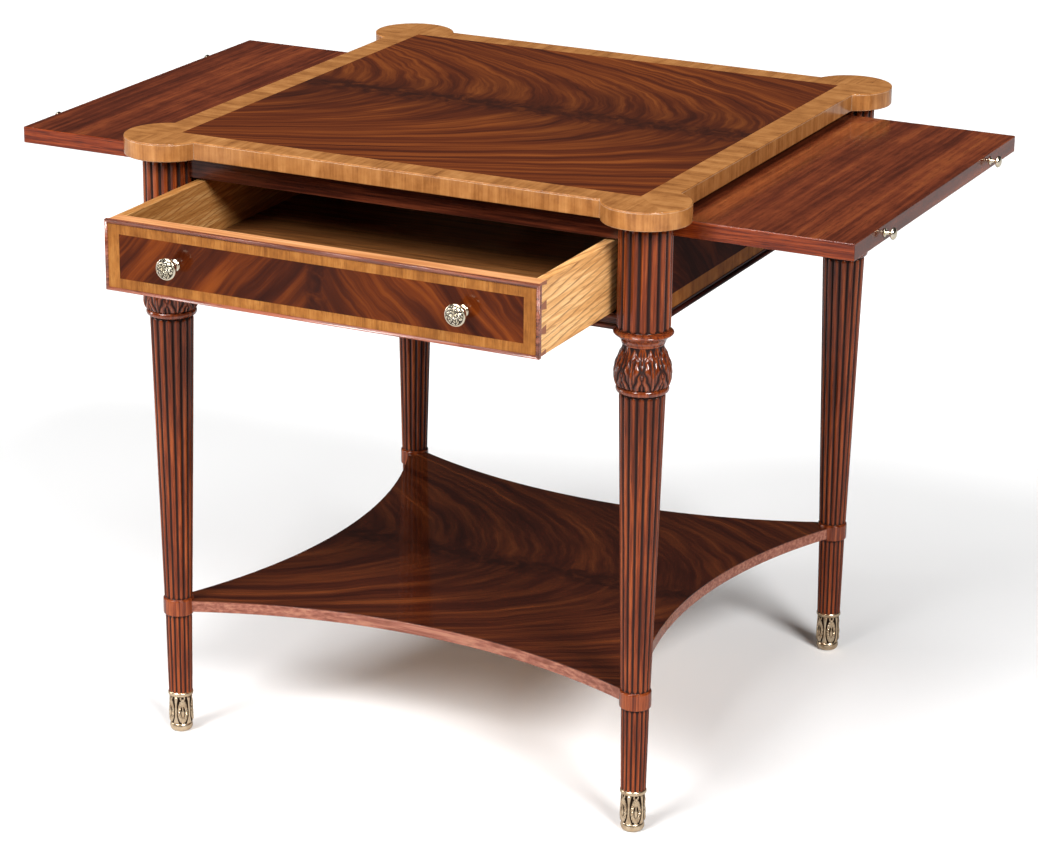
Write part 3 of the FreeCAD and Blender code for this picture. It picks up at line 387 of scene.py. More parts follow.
def ramp(tree, factor, stops):
    """Colour output of a ramp with (place, colour) stops."""
    made = put(tree, "ValToRGB", {"Fac": factor})
    elements = made.color_ramp.elements
    while len(elements) < len(stops):
        elements.new(0.5)
    for element, (place, code) in zip(elements, stops):
        element.position = place
        element.color = shade(code)
    return made.outputs["Color"]


def node_group(name, vectors_in, values_in, vectors_out, values_out):
    """Shader node group with named sockets; values_in gives each number its default."""
    made = bpy.data.node_groups.new(name, "ShaderNodeTree")
    for way, vectors, values in (("INPUT", vectors_in, values_in),
                                 ("OUTPUT", vectors_out, values_out)):
        for label in vectors:
            made.interface.new_socket(label, in_out=way, socket_type="NodeSocketVector")
        for label in values:
            socket = made.interface.new_socket(label, in_out=way, socket_type="NodeSocketFloat")
            if way == "INPUT":
                socket.default_value = values[label]
    return made, made.nodes.new("NodeGroupInput"), made.nodes.new("NodeGroupOutput")


# Wood fibres as every timber in the table shows them: fine streaks with short
# dark pores among them.  Place has its X along the grain.
fibres, given, result = node_group(
    "wood_fibres", ["Place"], {"Streak Width": 0.0045, "Pore Width": 0.0009, "Pore Amount": 0.5},
    [], ["Streak", "Pores", "Height"])
axes = put(fibres, "SeparateXYZ", {0: given.outputs["Place"]})


def stretched(width, along):
    """Vector whose noise runs in streaks of a width, so many times longer than wide."""
    fine = maths(fibres, "DIVIDE", 1.0, width)
    cells = [maths(fibres, "MULTIPLY", axes.outputs[i], fine) for i in range(3)]
    cells[0] = maths(fibres, "DIVIDE", cells[0], along)
    return put(fibres, "CombineXYZ", dict(enumerate(cells))).outputs[0]


streaks = put(fibres, "TexNoise", {
    "Vector": stretched(given.outputs["Streak Width"], 30.0),
    "Scale": 1.0, "Detail": 4.0, "Roughness": 0.6})
pores = put(fibres, "TexNoise", {
    "Vector": stretched(given.outputs["Pore Width"], 22.0),
    "Scale": 1.0, "Detail": 1.0, "Roughness": 0.5})
pore_mask = maths(fibres, "MULTIPLY", spread(fibres, pores.outputs["Fac"], 0.56, 0.72),
                  given.outputs["Pore Amount"])
fibres.links.new(spread(fibres, streaks.outputs["Fac"], 0.3, 0.7), result.inputs["Streak"])
fibres.links.new(pore_mask, result.inputs["Pores"])
fibres.links.new(maths(fibres, "SUBTRACT", 1.0, pore_mask), result.inputs["Height"])


grain_order = {"X": (0, 1, 2), "Y": (1, 2, 0), "Z": (2, 0, 1)}


def grain(tree, along, streak, pore, amount, shift=(0.0, 0.0, 0.0)):
    """Wood fibres with the grain along "X", "Y" or "Z" of the table."""
    spot = put(tree, "TexCoord").outputs["Object"]
    moved = put(tree, "Mapping", {"Vector": spot, "Location": shift}).outputs[0]
    parts = put(tree, "SeparateXYZ", {0: moved}).outputs
    order = grain_order[along]
    place = put(tree, "CombineXYZ", {i: parts[order[i]] for i in range(3)}).outputs[0]
    return put(tree, "Group", {"Place": place, "Streak Width": streak, "Pore Width": pore,
                               "Pore Amount": amount}, node_tree=fibres)


def stained(tree, wood, stops, pore):
    """Colour of a timber: its streaks by the stops, its pores dark."""
    streaked = ramp(tree, wood.outputs["Streak"], stops)
    return blend(tree, wood.outputs["Pores"], streaked, shade(pore))


def lacquer(name, gloss=0.10, shine=0.5, **finish):
    """Gloss lacquer over wood, rubbed a little unevenly."""
    uneven = 0.05
    made, tree, shader = new_material(name, Roughness=gloss, Specular_IOR_Level=shine, **finish)
    spot = put(tree, "TexCoord").outputs["Object"]
    rubbing = put(tree, "TexNoise", {"Vector": spot, "Scale": 30.0, "Detail": 3.0})
    tree.links.new(spread(tree, rubbing.outputs["Fac"], 0.3, 0.7, gloss, gloss + uneven),
                   shader.inputs["Roughness"])
    return made, tree, shader


# Edges eased by sanding, and a painted highlight: a paler colour painted along each
# eased edge, broken up by noise.
highlight_edges, given, result = node_group("edge_highlight_paint", [], {"Radius": 0.001}, ["Normal"], ["Edge"])
eased = put(highlight_edges, "Bevel", {"Radius": given.outputs["Radius"]}, samples=5)
flat = put(highlight_edges, "NewGeometry").outputs["True Normal"]
agree = put(highlight_edges, "VectorMath", {0: eased.outputs[0], 1: flat},
            operation="DOT_PRODUCT").outputs["Value"]
spot = put(highlight_edges, "TexCoord").outputs["Object"]
patchy = put(highlight_edges, "TexNoise", {"Vector": spot, "Scale": 60.0, "Detail": 3.0})
painted_highlight_mask = maths(highlight_edges, "MULTIPLY", spread(highlight_edges, agree, 0.97, 0.80),
                  spread(highlight_edges, patchy.outputs["Fac"], 0.25, 0.6, 0.35, 1.0))
highlight_edges.links.new(painted_highlight_mask, result.inputs["Edge"])
highlight_edges.links.new(eased.outputs[0], result.inputs["Normal"])


def relief(tree, shader, height, depth, easing=0.0, rubbing_and_highlight="#a06a50"):
    """Fine surface relief, and edges eased to a radius with a painted highlight, a paler colour,
    along them.
    """
    highlight_share = 0.6
    bump = put(tree, "Bump", {"Strength": 0.5, "Distance": depth, "Height": height})
    if easing:
        wear_and_highlight = put(tree, "Group", {"Radius": easing}, node_tree=highlight_edges)
        tree.links.new(wear_and_highlight.outputs["Normal"], bump.inputs["Normal"])
        # Painted highlight: the base colour is blended toward a pale tint along the eased edges.
        under = shader.inputs["Base Color"].links[0].from_socket
        painted_highlight_amount = maths(tree, "MULTIPLY", wear_and_highlight.outputs["Edge"], highlight_share)
        tree.links.new(blend(tree, painted_highlight_amount, under, shade(rubbing_and_highlight)), shader.inputs["Base Color"])
    tree.links.new(bump.outputs[0], shader.inputs["Normal"])


leg_lacquer, tree, shader = lacquer("leg_lacquer", shine=0.32, Coat_Roughness=0.09)
rubbed_up = put(tree, "Attribute", attribute_name="round_work").outputs["Fac"]
wood = grain(tree, "Z", 0.0035, 0.0008, 0.45)
body_colour = stained(tree, wood, [(0.0, "#4c1c08"), (0.5, "#6f2e12"), (1.0, "#8c441e")], "#220a06")
hollow = put(tree, "Attribute", attribute_name="hollow").outputs["Fac"]
# Painted shade with the glaze: reed hollows, reed flanks and the creases of the leaves are coloured
# dark.
dark = spread(tree, hollow, 0.08, 0.78)
clear = spread(tree, hollow, 0.0, 0.5, 1.0, 0.0)
tree.links.new(maths(tree, "MULTIPLY", rubbed_up, clear), shader.inputs["Coat Weight"])
tree.links.new(blend(tree, dark, body_colour, shade("#210a05")), shader.inputs["Base Color"])
tree.links.new(spread(tree, hollow, 0.3, 0.9, 0.13, 0.85), shader.inputs["Roughness"])
relief(tree, shader, wood.outputs["Height"], 0.00012)


def leg_axis(end, side):
    """Move from the origin to the foot of one leg's centre line."""
    low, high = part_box(f"ferrule_{end}_{side}")
    return Matrix.Translation(((low.x + high.x) / 2, (low.y + high.y) / 2, 0.0))


for end in ("front", "back"):
    for side in ("left", "right"):
        add_piece(f"turned_leg_{end}_{side}", leg_shape, leg_lacquer, "frame",
                  [f"leg_{end}_{side}"], leg_axis(end, side))
leg_shape.free()


# ------------------------------------------------------------------ ferrules
# Cast brass cups under the legs: a plain bun foot and rim, and between them a
# wreath of leaves round a bud, five times over, with dark wax in the ground.

wreath_count = 5
wreath_start = math.radians(22)
foot_flat = 0.0
bun_top = 0.0100
rim_low = foot_top - 0.0052
wax_depth = 0.00070         # relief at which the metal stands clear of the wax


def wreath_rise(angle, height):
    """Relief of the casting in metres, for a height above the middle of the panel."""
    cup_radius_mm = 14.0
    pitch = 2 * math.pi / wreath_count
    turn = ((angle - wreath_start) / pitch + 0.5) % 1.0 - 0.5
    x = turn * pitch * cup_radius_mm
    y = height * 1000
    ring = math.hypot(x / 5.0, (y + 1.5) / 11.5)
    lean = math.atan2(x / 5.0, (y + 1.5) / 11.5)
    leaves = 0.08 + 0.92 * abs(math.sin(8 * lean + 2.6 * ring)) ** 0.8
    rise = 1.05 * max(0.0, 1 - ((ring - 0.94) / 0.34) ** 2) ** 0.6 * leaves
    bud = math.hypot(x / 1.9, (y + 3.5) / 4.8)
    rise = max(rise, 1.0 * max(0.0, 1 - bud ** 2) ** 0.5)
    stalk = math.hypot(x / 0.7, (y - 4.0) / 5.0)
    rise = max(rise, 0.7 * max(0.0, 1 - stalk ** 2) ** 0.5)
    flare = 1.0 + 2.2 * max(0.0, (-y - 5) / 11) ** 1.5 + 1.2 * max(0.0, (y - 6) / 10) ** 1.4
    stem = (pitch * cup_radius_mm / 2 - abs(x)) / flare
    rise = max(rise, 0.9 * max(0.0, 1 - (stem / 1.35) ** 2))
    fan = math.hypot(x / 3.6, (y - 15.5) / 3.4)
    fan_ribs = 0.35 + 0.65 * abs(math.sin(7 * lean))
    rise = max(rise, 0.8 * max(0.0, 1 - ((fan - 0.75) / 0.32) ** 2) * fan_ribs)
    edge = min(1.0, max(0.0, (17.0 - abs(y)) / 1.2))
    return rise * edge * 0.001


ferrule_rows = (
    curved([(0.0, foot_flat), (0.0080, foot_flat)], 0.002)
    + curved([(0.0080, foot_flat + 0.00001), (0.0116, 0.0016), (0.0131, 0.0050), (0.0129, 0.0078),
              (0.0122, bun_top - 0.0004)], 0.0008)
    + curved([(0.0119, bun_top), (0.0130, bun_top + 0.0022), (0.0133, bun_top + 0.0110),
              (0.0128, bun_top + 0.0240), (0.0124, rim_low)], 0.00045)
    + curved([(0.0130, rim_low + 0.0001), (0.0143, rim_low + 0.0008), (0.01465, rim_low + 0.0026),
              (0.0143, foot_top - 0.0007), (0.0135, foot_top - 0.0001)], 0.0007)
    + stepped([(0.0135, foot_top), (0.0, foot_top)], 0.005)
)
ferrule_shape = turn_shape(ferrule_rows, 200)
wax = ferrule_shape.verts.layers.float.new("hollow")
panel_middle = (bun_top + rim_low) / 2
for vert in ferrule_shape.verts:
    vert[wax] = 0.0
    if bun_top < vert.co.z < rim_low:
        rise = wreath_rise(math.atan2(vert.co.y, vert.co.x), vert.co.z - panel_middle)
        vert[wax] = 1.0 - min(1.0, rise / wax_depth)
        grown = 1 + rise / math.hypot(vert.co.x, vert.co.y)
        vert.co.x *= grown
        vert.co.y *= grown

antique_brass, tree, shader = new_material("antique_brass", Metallic=1.0)
spot = put(tree, "TexCoord").outputs["Object"]
tarnish = put(tree, "TexNoise", {"Vector": spot, "Scale": 140.0, "Detail": 4.0, "Roughness": 0.65})
metal = ramp(tree, tarnish.outputs["Fac"], [(0.25, "#bb9c7a"), (0.5, "#e6cba8"), (0.8, "#fae8cc")])
hollow = put(tree, "Attribute", attribute_name="hollow").outputs["Fac"]
dark = spread(tree, hollow, 0.35, 1.0)
tree.links.new(blend(tree, dark, metal, shade("#2a1f18")), shader.inputs["Base Color"])
tree.links.new(spread(tree, hollow, 0.3, 1.0, 0.26, 0.7), shader.inputs["Roughness"])
relief(tree, shader, tarnish.outputs["Fac"], 0.00008)

for end in ("front", "back"):
    for side in ("left", "right"):
        add_piece(f"cast_ferrule_{end}_{side}", ferrule_shape, antique_brass,
                  "frame", [f"ferrule_{end}_{side}"], leg_axis(end, side))
ferrule_shape.free()


# ------------------------------------------------------------------ rails and mouldings
# Dark solid mahogany, planed straight with the grain along each piece, and
# lacquered: the rails round the carcase, and the moulding glued along the foot of
# each apron, which is coloured darker still, partly as painted shade under the slides,
# and has a duller finish.

def finish_nodes(material, *names):
    """Give CAD nodes one material."""
    for name in names:
        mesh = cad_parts[name].data
        mesh.materials.clear()
        mesh.materials.append(material)


def dark_mahogany(name, along):
    """Dark lacquered mahogany with its grain along one axis."""
    made, tree, shader = lacquer(name, gloss=0.14, shine=0.3)
    wood = grain(tree, along, 0.0040, 0.0008, 0.5)
    colour = stained(tree, wood, [(0.0, "#2a100a"), (0.5, "#441d11"), (1.0, "#602e1b")], "#130606")
    tree.links.new(colour, shader.inputs["Base Color"])
    # Painted highlight: a paler line is painted along the eased edges.
    relief(tree, shader, wood.outputs["Height"], 0.0001, easing=0.0012)
    return made


rail_along_x = dark_mahogany("rail_mahogany_x", "X")
rail_along_y = dark_mahogany("rail_mahogany_y", "Y")
finish_nodes(rail_along_x, "front_top_rail", "front_bottom_rail", "back_rail")
finish_nodes(rail_along_y, "side_rail_left", "side_rail_right")

bead_room = 0.012           # more than the back moulding stands in from the back veneer
back_bead_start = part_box("back_field")[0].y - bead_room
moulding, tree, shader = lacquer("moulding_mahogany", gloss=0.20, shine=0.12, IOR=1.2)
spot = put(tree, "SeparateXYZ", {0: put(tree, "TexCoord").outputs["Object"]}).outputs
on_back = maths(tree, "GREATER_THAN", spot[1], back_bead_start)
side_grain = grain(tree, "Y", 0.0040, 0.0008, 0.4)
back_grain = grain(tree, "X", 0.0040, 0.0008, 0.4)
streak, pore, height = (blend(tree, on_back, side_grain.outputs[part], back_grain.outputs[part])
                        for part in ("Streak", "Pores", "Height"))
# Darker than the rails, partly as painted shade along the foot of the aprons.
colour = ramp(tree, streak, [(0.0, "#1c0907"), (0.5, "#2f110c"), (1.0, "#451c12")])
tree.links.new(blend(tree, pore, colour, shade("#100505")), shader.inputs["Base Color"])
relief(tree, shader, height, 0.0001)
finish_nodes(moulding, "apron_beads")


# ------------------------------------------------------------------ cockbead
# Four strips with a rounded nose, let into a rabbet round the drawer front,
# mitred at its corners and left standing a little proud of the veneer.

bead_low, bead_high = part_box("drawer_cockbead")
veneer_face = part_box("drawer_field")[0].y
bead_width = 0.004
nose_steps = 14
bead_wood, tree, shader = lacquer("cockbead_mahogany", gloss=0.20, shine=1.0)
wood = grain(tree, "X", 0.0030, 0.0008, 0.4)
colour = stained(tree, wood, [(0.0, "#5a281a"), (0.5, "#7e4330"), (1.0, "#9a5a44")], "#180806")
tree.links.new(colour, shader.inputs["Base Color"])
relief(tree, shader, wood.outputs["Height"], 0.00006)

bead_shape = bmesh.new()
corners = ((bead_low.x, bead_low.z), (bead_high.x, bead_low.z), (bead_high.x, bead_high.z),
           (bead_low.x, bead_high.z))
inward = ((1, 1), (-1, 1), (-1, -1), (1, -1))
nose = [math.pi * i / nose_steps for i in range(nose_steps + 1)]
for k in range(4):
    loops = []
    for c in (k, (k + 1) % 4):
        (x, z), (sx, sz) = corners[c], inward[c]
        ring = []
        for turn in nose:
            inset = bead_width * (1 - math.cos(turn)) / 2
            proud = (veneer_face - bead_low.y) * math.sin(turn)
            ring.append(bead_shape.verts.new(
                (x + sx * inset, veneer_face - proud, z + sz * inset)))
        ring.append(bead_shape.verts.new(
            (x + sx * bead_width, bead_high.y, z + sz * bead_width)))
        ring.append(bead_shape.verts.new((x, bead_high.y, z)))
        loops.append([bead_shape.edges.new((a, b)) for a, b in zip(ring, ring[1:] + ring[:1])])
    bmesh.ops.bridge_loops(bead_shape, edges=loops[0] + loops[1])
    for loop in loops:
        bmesh.ops.holes_fill(bead_shape, edges=loop, sides=0)
bmesh.ops.recalc_face_normals(bead_shape, faces=bead_shape.faces)
cockbead = add_piece("cockbead", bead_shape, bead_wood, "drawer",
                     ["drawer_cockbead"])
for face in cockbead.data.polygons:
    face.use_smooth = face.normal.y < -0.02 and len(face.vertices) < 5
bead_shape.free()


# ------------------------------------------------------------------ show veneers
# Flame mahogany from the crotch of the tree.  A dark mottled heart runs down the
# middle and the figure leaves it square, then sweeps away in long feathers.

flame, given, result = node_group(
    "flame_figure", ["Place"],
    {"Sweep": 0.34, "Reach": 0.27, "Power": 2.2, "Band Width": 0.030, "Heart Width": 0.024},
    [], ["Figure", "Heart", "Depth", "Fine"])
axes = put(flame, "SeparateXYZ", {0: given.outputs["Place"]})
drift = put(flame, "TexNoise", {"Vector": given.outputs["Place"], "Scale": 9.0, "Detail": 2.0})
sway = put(flame, "TexNoise", {"Vector": given.outputs["Place"], "Scale": 24.0, "Detail": 2.0})
bend = maths(flame, "MULTIPLY", maths(flame, "SUBTRACT", drift.outputs["Fac"], 0.5), 0.036)
wave = maths(flame, "MULTIPLY", maths(flame, "SUBTRACT", sway.outputs["Fac"], 0.5), 0.010)
across = maths(flame, "ADD", axes.outputs[1], wave)
away = maths(flame, "ABSOLUTE", across)
share = maths(flame, "DIVIDE", away, given.outputs["Reach"])
swept = maths(flame, "MULTIPLY", maths(flame, "POWER", share, given.outputs["Power"]),
              given.outputs["Sweep"])
feather = maths(flame, "ADD", maths(flame, "ADD", axes.outputs[0], swept),
                maths(flame, "ADD", bend, wave))
fraction = maths(flame, "DIVIDE", 1.0, given.outputs["Band Width"])


def feather_noise(size, stretch, detail):
    """Noise in bands across the feathers, a share of the band width wide."""
    cell = put(flame, "CombineXYZ", {
        0: maths(flame, "MULTIPLY", maths(flame, "MULTIPLY", feather, fraction), size),
        1: maths(flame, "MULTIPLY", across, stretch)})
    return put(flame, "TexNoise", {"Vector": cell.outputs[0], "Scale": 1.0, "Detail": detail,
                                   "Roughness": 0.55}).outputs["Fac"]


broad = feather_noise(1.0, 5.0, 3.0)
middle = feather_noise(3.4, 9.0, 3.0)
fine = feather_noise(13.0, 22.0, 2.0)
total = maths(flame, "ADD", maths(flame, "MULTIPLY", broad, 0.55),
              maths(flame, "MULTIPLY", middle, 0.32))
total = maths(flame, "ADD", total, maths(flame, "MULTIPLY", fine, 0.13))
mottle = put(flame, "TexNoise", {"Vector": given.outputs["Place"], "Scale": 55.0, "Detail": 5.0,
                                 "Roughness": 0.65, "Distortion": 0.8})
heart_edge = maths(flame, "DIVIDE", away, given.outputs["Heart Width"])
heart = spread(flame, maths(flame, "ADD", heart_edge, mottle.outputs["Fac"]), 0.5, 1.9, 1.0, 0.0)
ripple = maths(flame, "MULTIPLY", mottle.outputs["Fac"], 0.85)
figure = maths(flame, "ADD", maths(flame, "MULTIPLY", total, maths(flame, "SUBTRACT", 1.0, heart)),
               maths(flame, "MULTIPLY", ripple, heart))
flame.links.new(spread(flame, figure, 0.30, 0.70), result.inputs["Figure"])
flame.links.new(heart, result.inputs["Heart"])
clouded = maths(flame, "ADD", share, maths(flame, "MULTIPLY", drift.outputs["Fac"], 0.8))
flame.links.new(spread(flame, clouded, 0.35, 1.1, 1.0, 0.0), result.inputs["Depth"])
flame.links.new(fine, result.inputs["Fine"])


def flame_veneer(name, turn, shift, stops, sweep, reach, power, band, heart_width, **finish):
    """Lacquered flame veneer: X of its pattern lies along the heart."""
    made, tree, shader = lacquer(name, **finish)
    spot = put(tree, "TexCoord").outputs["Object"]
    parts = put(tree, "SeparateXYZ", {0: spot}).outputs
    turned_spot = put(tree, "CombineXYZ", {i: parts[turn[i]] for i in range(3)}).outputs[0]
    place = put(tree, "Mapping", {"Vector": turned_spot, "Location": shift}).outputs[0]
    pattern = put(tree, "Group", {"Place": place, "Sweep": sweep, "Reach": reach, "Power": power,
                                  "Band Width": band, "Heart Width": heart_width}, node_tree=flame)
    colour = ramp(tree, pattern.outputs["Figure"], stops)
    for part, share, code in (("Depth", 0.42, "#2b120b"), ("Heart", 0.30, "#26100a")):
        darker = maths(tree, "MULTIPLY", pattern.outputs[part], share)
        colour = blend(tree, darker, colour, shade(code))
    tree.links.new(colour, shader.inputs["Base Color"])
    relief(tree, shader, pattern.outputs["Fine"], 0.00005)
    return made


top_veneer = flame_veneer(
    "top_flame_veneer", (0, 1, 2), (0.0, -0.004, 0.0),
    [(0.0, "#331208"), (0.4, "#55230d"), (0.7, "#6f3513"), (1.0, "#8a491d")],
    sweep=0.34, reach=0.27, power=2.2, band=0.030, heart_width=0.026)
shelf_veneer = flame_veneer(
    "shelf_flame_veneer", (0, 1, 2), (0.3, 0.01, 0.0),
    [(0.0, "#2a0f0a"), (0.4, "#431c10"), (0.75, "#5d2c15"), (1.0, "#773e1e")],
    sweep=0.30, reach=0.27, power=1.9, band=0.034, heart_width=0.022, gloss=0.06)
drawer_veneer = flame_veneer(
    "drawer_flame_veneer", (2, 0, 1), (0.1, 0.0, 0.0),
    [(0.0, "#250903"), (0.4, "#411807"), (0.7, "#5e280b"), (1.0, "#773a11")],
    sweep=0.26, reach=0.24, power=1.05, band=0.046, heart_width=0.012, shine=0.13)
# Painted shade: the aprons' veneer, and the back's, is the drawer's flame mahogany coloured far
# darker, for the shade under the slides and the top.
apron_veneer_shaded = flame_veneer(
    "apron_flame_veneer_shaded", (2, 1, 0), (0.2, 0.0, 0.0),
    [(0.0, "#140402"), (0.4, "#240a04"), (0.7, "#361307"), (1.0, "#461d0a")],
    sweep=-0.20, reach=0.26, power=1.2, band=0.040, heart_width=0.014, shine=0.03, IOR=1.2)
back_veneer_shaded = flame_veneer(
    "back_flame_veneer_shaded", (2, 0, 1), (0.2, 0.0, 0.0),
    [(0.0, "#190704"), (0.4, "#2c0f07"), (0.7, "#411a0b"), (1.0, "#532610")],
    sweep=-0.20, reach=0.26, power=1.2, band=0.040, heart_width=0.014, shine=0.03)
finish_nodes(top_veneer, "top_field")
finish_nodes(shelf_veneer, "shelf_veneer")
finish_nodes(drawer_veneer, "drawer_field")
finish_nodes(apron_veneer_shaded, "side_field_left", "side_field_right")
finish_nodes(back_veneer_shaded, "back_field")


# ------------------------------------------------------------------ crossbanding
# Golden veneer laid with its grain across each band, in short leaves that vary
# in tone, mitred at the corners.  The edge of the top is lipped with the same.

def crossband(name, across, fibre, stops, easing=0.0, shine=0.4, **finish):
    """Golden banding with its grain along one axis, across the band, in soft mottled blocks."""
    made, tree, shader = lacquer(name, gloss=0.13, shine=shine, **finish)
    wood = grain(tree, across, 0.0030, 0.0006, fibre)
    wide = grain(tree, across, 0.0130, 0.0009, 0.0, shift=(0.4, 0.2, 0.1))
    spot = put(tree, "TexCoord").outputs["Object"]
    cloud = put(tree, "TexNoise", {"Vector": spot, "Scale": 42.0, "Detail": 4.0, "Roughness": 0.65})
    tone = maths(tree, "ADD", maths(tree, "MULTIPLY", cloud.outputs["Fac"], 0.62),
                 maths(tree, "MULTIPLY", wood.outputs["Streak"], 0.14))
    tone = maths(tree, "ADD", tone, maths(tree, "MULTIPLY", wide.outputs["Streak"], 0.22))
    colour = blend(tree, wood.outputs["Pores"], ramp(tree, tone, stops), shade("#4d2a12"))
    tree.links.new(colour, shader.inputs["Base Color"])
    # With easing, a pale painted highlight runs along the eased edges.
    relief(tree, shader, wood.outputs["Height"], 0.00006, easing=easing, rubbing_and_highlight="#eccdb0")
    return made


gold = [(0.25, "#7c4b24"), (0.5, "#a06a39"), (0.8, "#bd8650")]
dim_gold = [(0.25, "#6b3d17"), (0.5, "#8d5826"), (0.8, "#a9733a")]
# Painted shade: the aprons' bands are the golden banding coloured darker, for the shade under the
# slides.
gold_in_painted_shade = [(0.25, "#542c0d"), (0.5, "#6f3f15"), (0.8, "#855223")]
band_grain_y = crossband("crossband_grain_y", "Y", 0.25, gold)
band_grain_x = crossband("crossband_grain_x", "X", 0.25, gold)
lipping_wood = crossband("top_edge_lipping", "Z", 0.25, gold, shine=0.35, easing=0.0016)
drawer_band = crossband("drawer_crossband_wood", "Z", 0.55, dim_gold, shine=0.15)
apron_band = crossband("apron_crossband_wood", "Z", 0.4, gold_in_painted_shade, shine=0.06, IOR=1.2)
finish_nodes(band_grain_y, "top_band_front", "top_band_back")
finish_nodes(band_grain_x, "top_band_left", "top_band_right")
finish_nodes(lipping_wood, "top_lipping")
finish_nodes(drawer_band, "drawer_crossband")
finish_nodes(apron_band, "apron_bands")


# ------------------------------------------------------------------ shelf edge
# Strips of redder, straight-grained mahogany, bent to the hollow sides of the
# shelf, glued to its core and levelled with the veneer.

edge_wood, tree, shader = lacquer("shelf_edge_mahogany")
wood = grain(tree, "X", 0.0035, 0.0008, 0.35)
colour = stained(tree, wood, [(0.0, "#6a3827"), (0.5, "#865040"), (1.0, "#9c6852")], "#3e1a10")
tree.links.new(colour, shader.inputs["Base Color"])
# Painted highlight: a paler line is painted along the eased edges.
relief(tree, shader, wood.outputs["Height"], 0.00008, easing=0.0010)
finish_nodes(edge_wood, "shelf_banding")


# ------------------------------------------------------------------ slides
# Solid boards of ribbon mahogany, striped light and dark, with the grain from
# front to back.  They run in grooves, and a redder tone shows on the long edges.

slide_wood, tree, shader = lacquer("slide_mahogany", shine=0.4)
wood = grain(tree, "Y", 0.0050, 0.0009, 0.55)
broad = grain(tree, "Y", 0.0260, 0.0009, 0.0, shift=(0.3, 0.0, 0.0))
spot = put(tree, "TexCoord").outputs["Object"]
ribbon = put(tree, "TexNoise", {"Vector": spot, "Scale": 34.0, "Detail": 4.0, "Roughness": 0.6})
tone = maths(tree, "ADD", maths(tree, "MULTIPLY", wood.outputs["Streak"], 0.25),
             maths(tree, "MULTIPLY", broad.outputs["Streak"], 0.40))
tone = maths(tree, "ADD", tone, maths(tree, "MULTIPLY", ribbon.outputs["Fac"], 0.35))
flat_colour = ramp(tree, tone, [(0.15, "#35140b"), (0.42, "#552414"), (0.62, "#70341c"),
                                (0.85, "#8a4824")])
flat_colour = blend(tree, wood.outputs["Pores"], flat_colour, shade("#230d07"))
edge = grain(tree, "X", 0.0022, 0.0010, 0.8)
edge_colour = stained(tree, edge, [(0.0, "#4c1605"), (0.5, "#68260c"), (1.0, "#833816")], "#2a0f08")
facing = put(tree, "SeparateXYZ", {0: put(tree, "TexCoord").outputs["Normal"]}).outputs[1]
on_edge = spread(tree, maths(tree, "ABSOLUTE", facing), 0.4, 0.6)
tree.links.new(blend(tree, on_edge, flat_colour, edge_colour), shader.inputs["Base Color"])
# Painted highlight: the eased edges are painted a paler tint.
relief(tree, shader, wood.outputs["Height"], 0.0001, easing=0.0014, rubbing_and_highlight="#b98468")
finish_nodes(slide_wood, "slide_board_left", "slide_board_right")


# ------------------------------------------------------------------ brass pulls
# Turned and polished brass.  The drawer's two have a domed head chased with
# leaves, the small ones on the slides are plain.

polished_brass, tree, shader = new_material("polished_brass", Metallic=1.0)
spot = put(tree, "TexCoord").outputs["Object"]
rubbing_and_highlight = put(tree, "TexNoise", {"Vector": spot, "Scale": 260.0, "Detail": 3.0})
metal = ramp(tree, rubbing_and_highlight.outputs["Fac"], [(0.3, "#e6d5b4"), (0.7, "#fbf2de")])
hollow = put(tree, "Attribute", attribute_name="hollow").outputs["Fac"]
cut_dark = spread(tree, hollow, 0.10, 0.62)
tree.links.new(blend(tree, cut_dark, metal, shade("#231c17")), shader.inputs["Base Color"])
tree.links.new(spread(tree, hollow, 0.0, 1.0, 0.2, 0.6), shader.inputs["Roughness"])
relief(tree, shader, rubbing_and_highlight.outputs["Fac"], 0.00003)

face_low = 0.0190
face_high = 0.0224
face_radius = 0.0101
chase_depth = 0.00060
knob_rows = (
    stepped([(0.0, 0.0), (0.0066, 0.0)], 0.004)
    + curved([(0.0068, 0.0002), (0.0068, 0.0012), (0.0062, 0.0017)], 0.0005)
    + curved([(0.0050, 0.0019), (0.0041, 0.0036), (0.0038, 0.0062), (0.0040, 0.0090),
              (0.0050, 0.0112), (0.0080, 0.0126), (0.0106, 0.0138), (0.0118, 0.0152),
              (0.0120, 0.0168), (0.0119, 0.0178), (0.0113, 0.0187), (0.0105, face_low)], 0.0005)
    + curved([(face_radius, face_low + 0.00002), (0.0098, face_low + 0.0004), (0.0084, 0.0207),
              (0.0060, 0.0217), (0.0032, 0.0223), (0.0, face_high)], 0.0003)
)
knob_shape = turn_shape(knob_rows, 192)
chased = knob_shape.verts.layers.float.new("hollow")
for vert in knob_shape.verts:
    vert[chased] = 0.0
    if vert.co.z <= face_low:
        continue
    out = math.hypot(vert.co.x, vert.co.y) / face_radius
    turn = math.atan2(vert.co.y, vert.co.x) + 0.8 * out
    petal = abs((turn * 5 / (2 * math.pi)) % 1.0 - 0.5) * 2
    veins = 0.5 + 0.5 * math.cos(2 * math.pi * (3.6 * out + 1.1 * petal))
    edge = math.exp(-((petal - 0.97) / 0.12) ** 2)
    rib = math.exp(-(petal / 0.10) ** 2)
    cut = max(0.8 * max(0.0, veins - 0.45) / 0.55 * (petal < 0.88), edge, 0.8 * rib)
    cut *= min(1.0, max(0.0, (1.0 - out) / 0.06)) * min(1.0, out / 0.10)
    vert[chased] = max(cut, math.exp(-((out - 0.985) / 0.02) ** 2))
    vert.co.z -= chase_depth * cut

for side in ("left", "right"):
    low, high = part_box(f"drawer_knob_{side}")
    stand = Matrix.Translation(((low.x + high.x) / 2, high.y, (low.z + high.z) / 2))
    add_piece(f"chased_knob_{side}", knob_shape, polished_brass, "drawer",
              [f"drawer_knob_{side}"], stand @ Matrix.Rotation(math.radians(90), 4, "X"))
knob_shape.free()

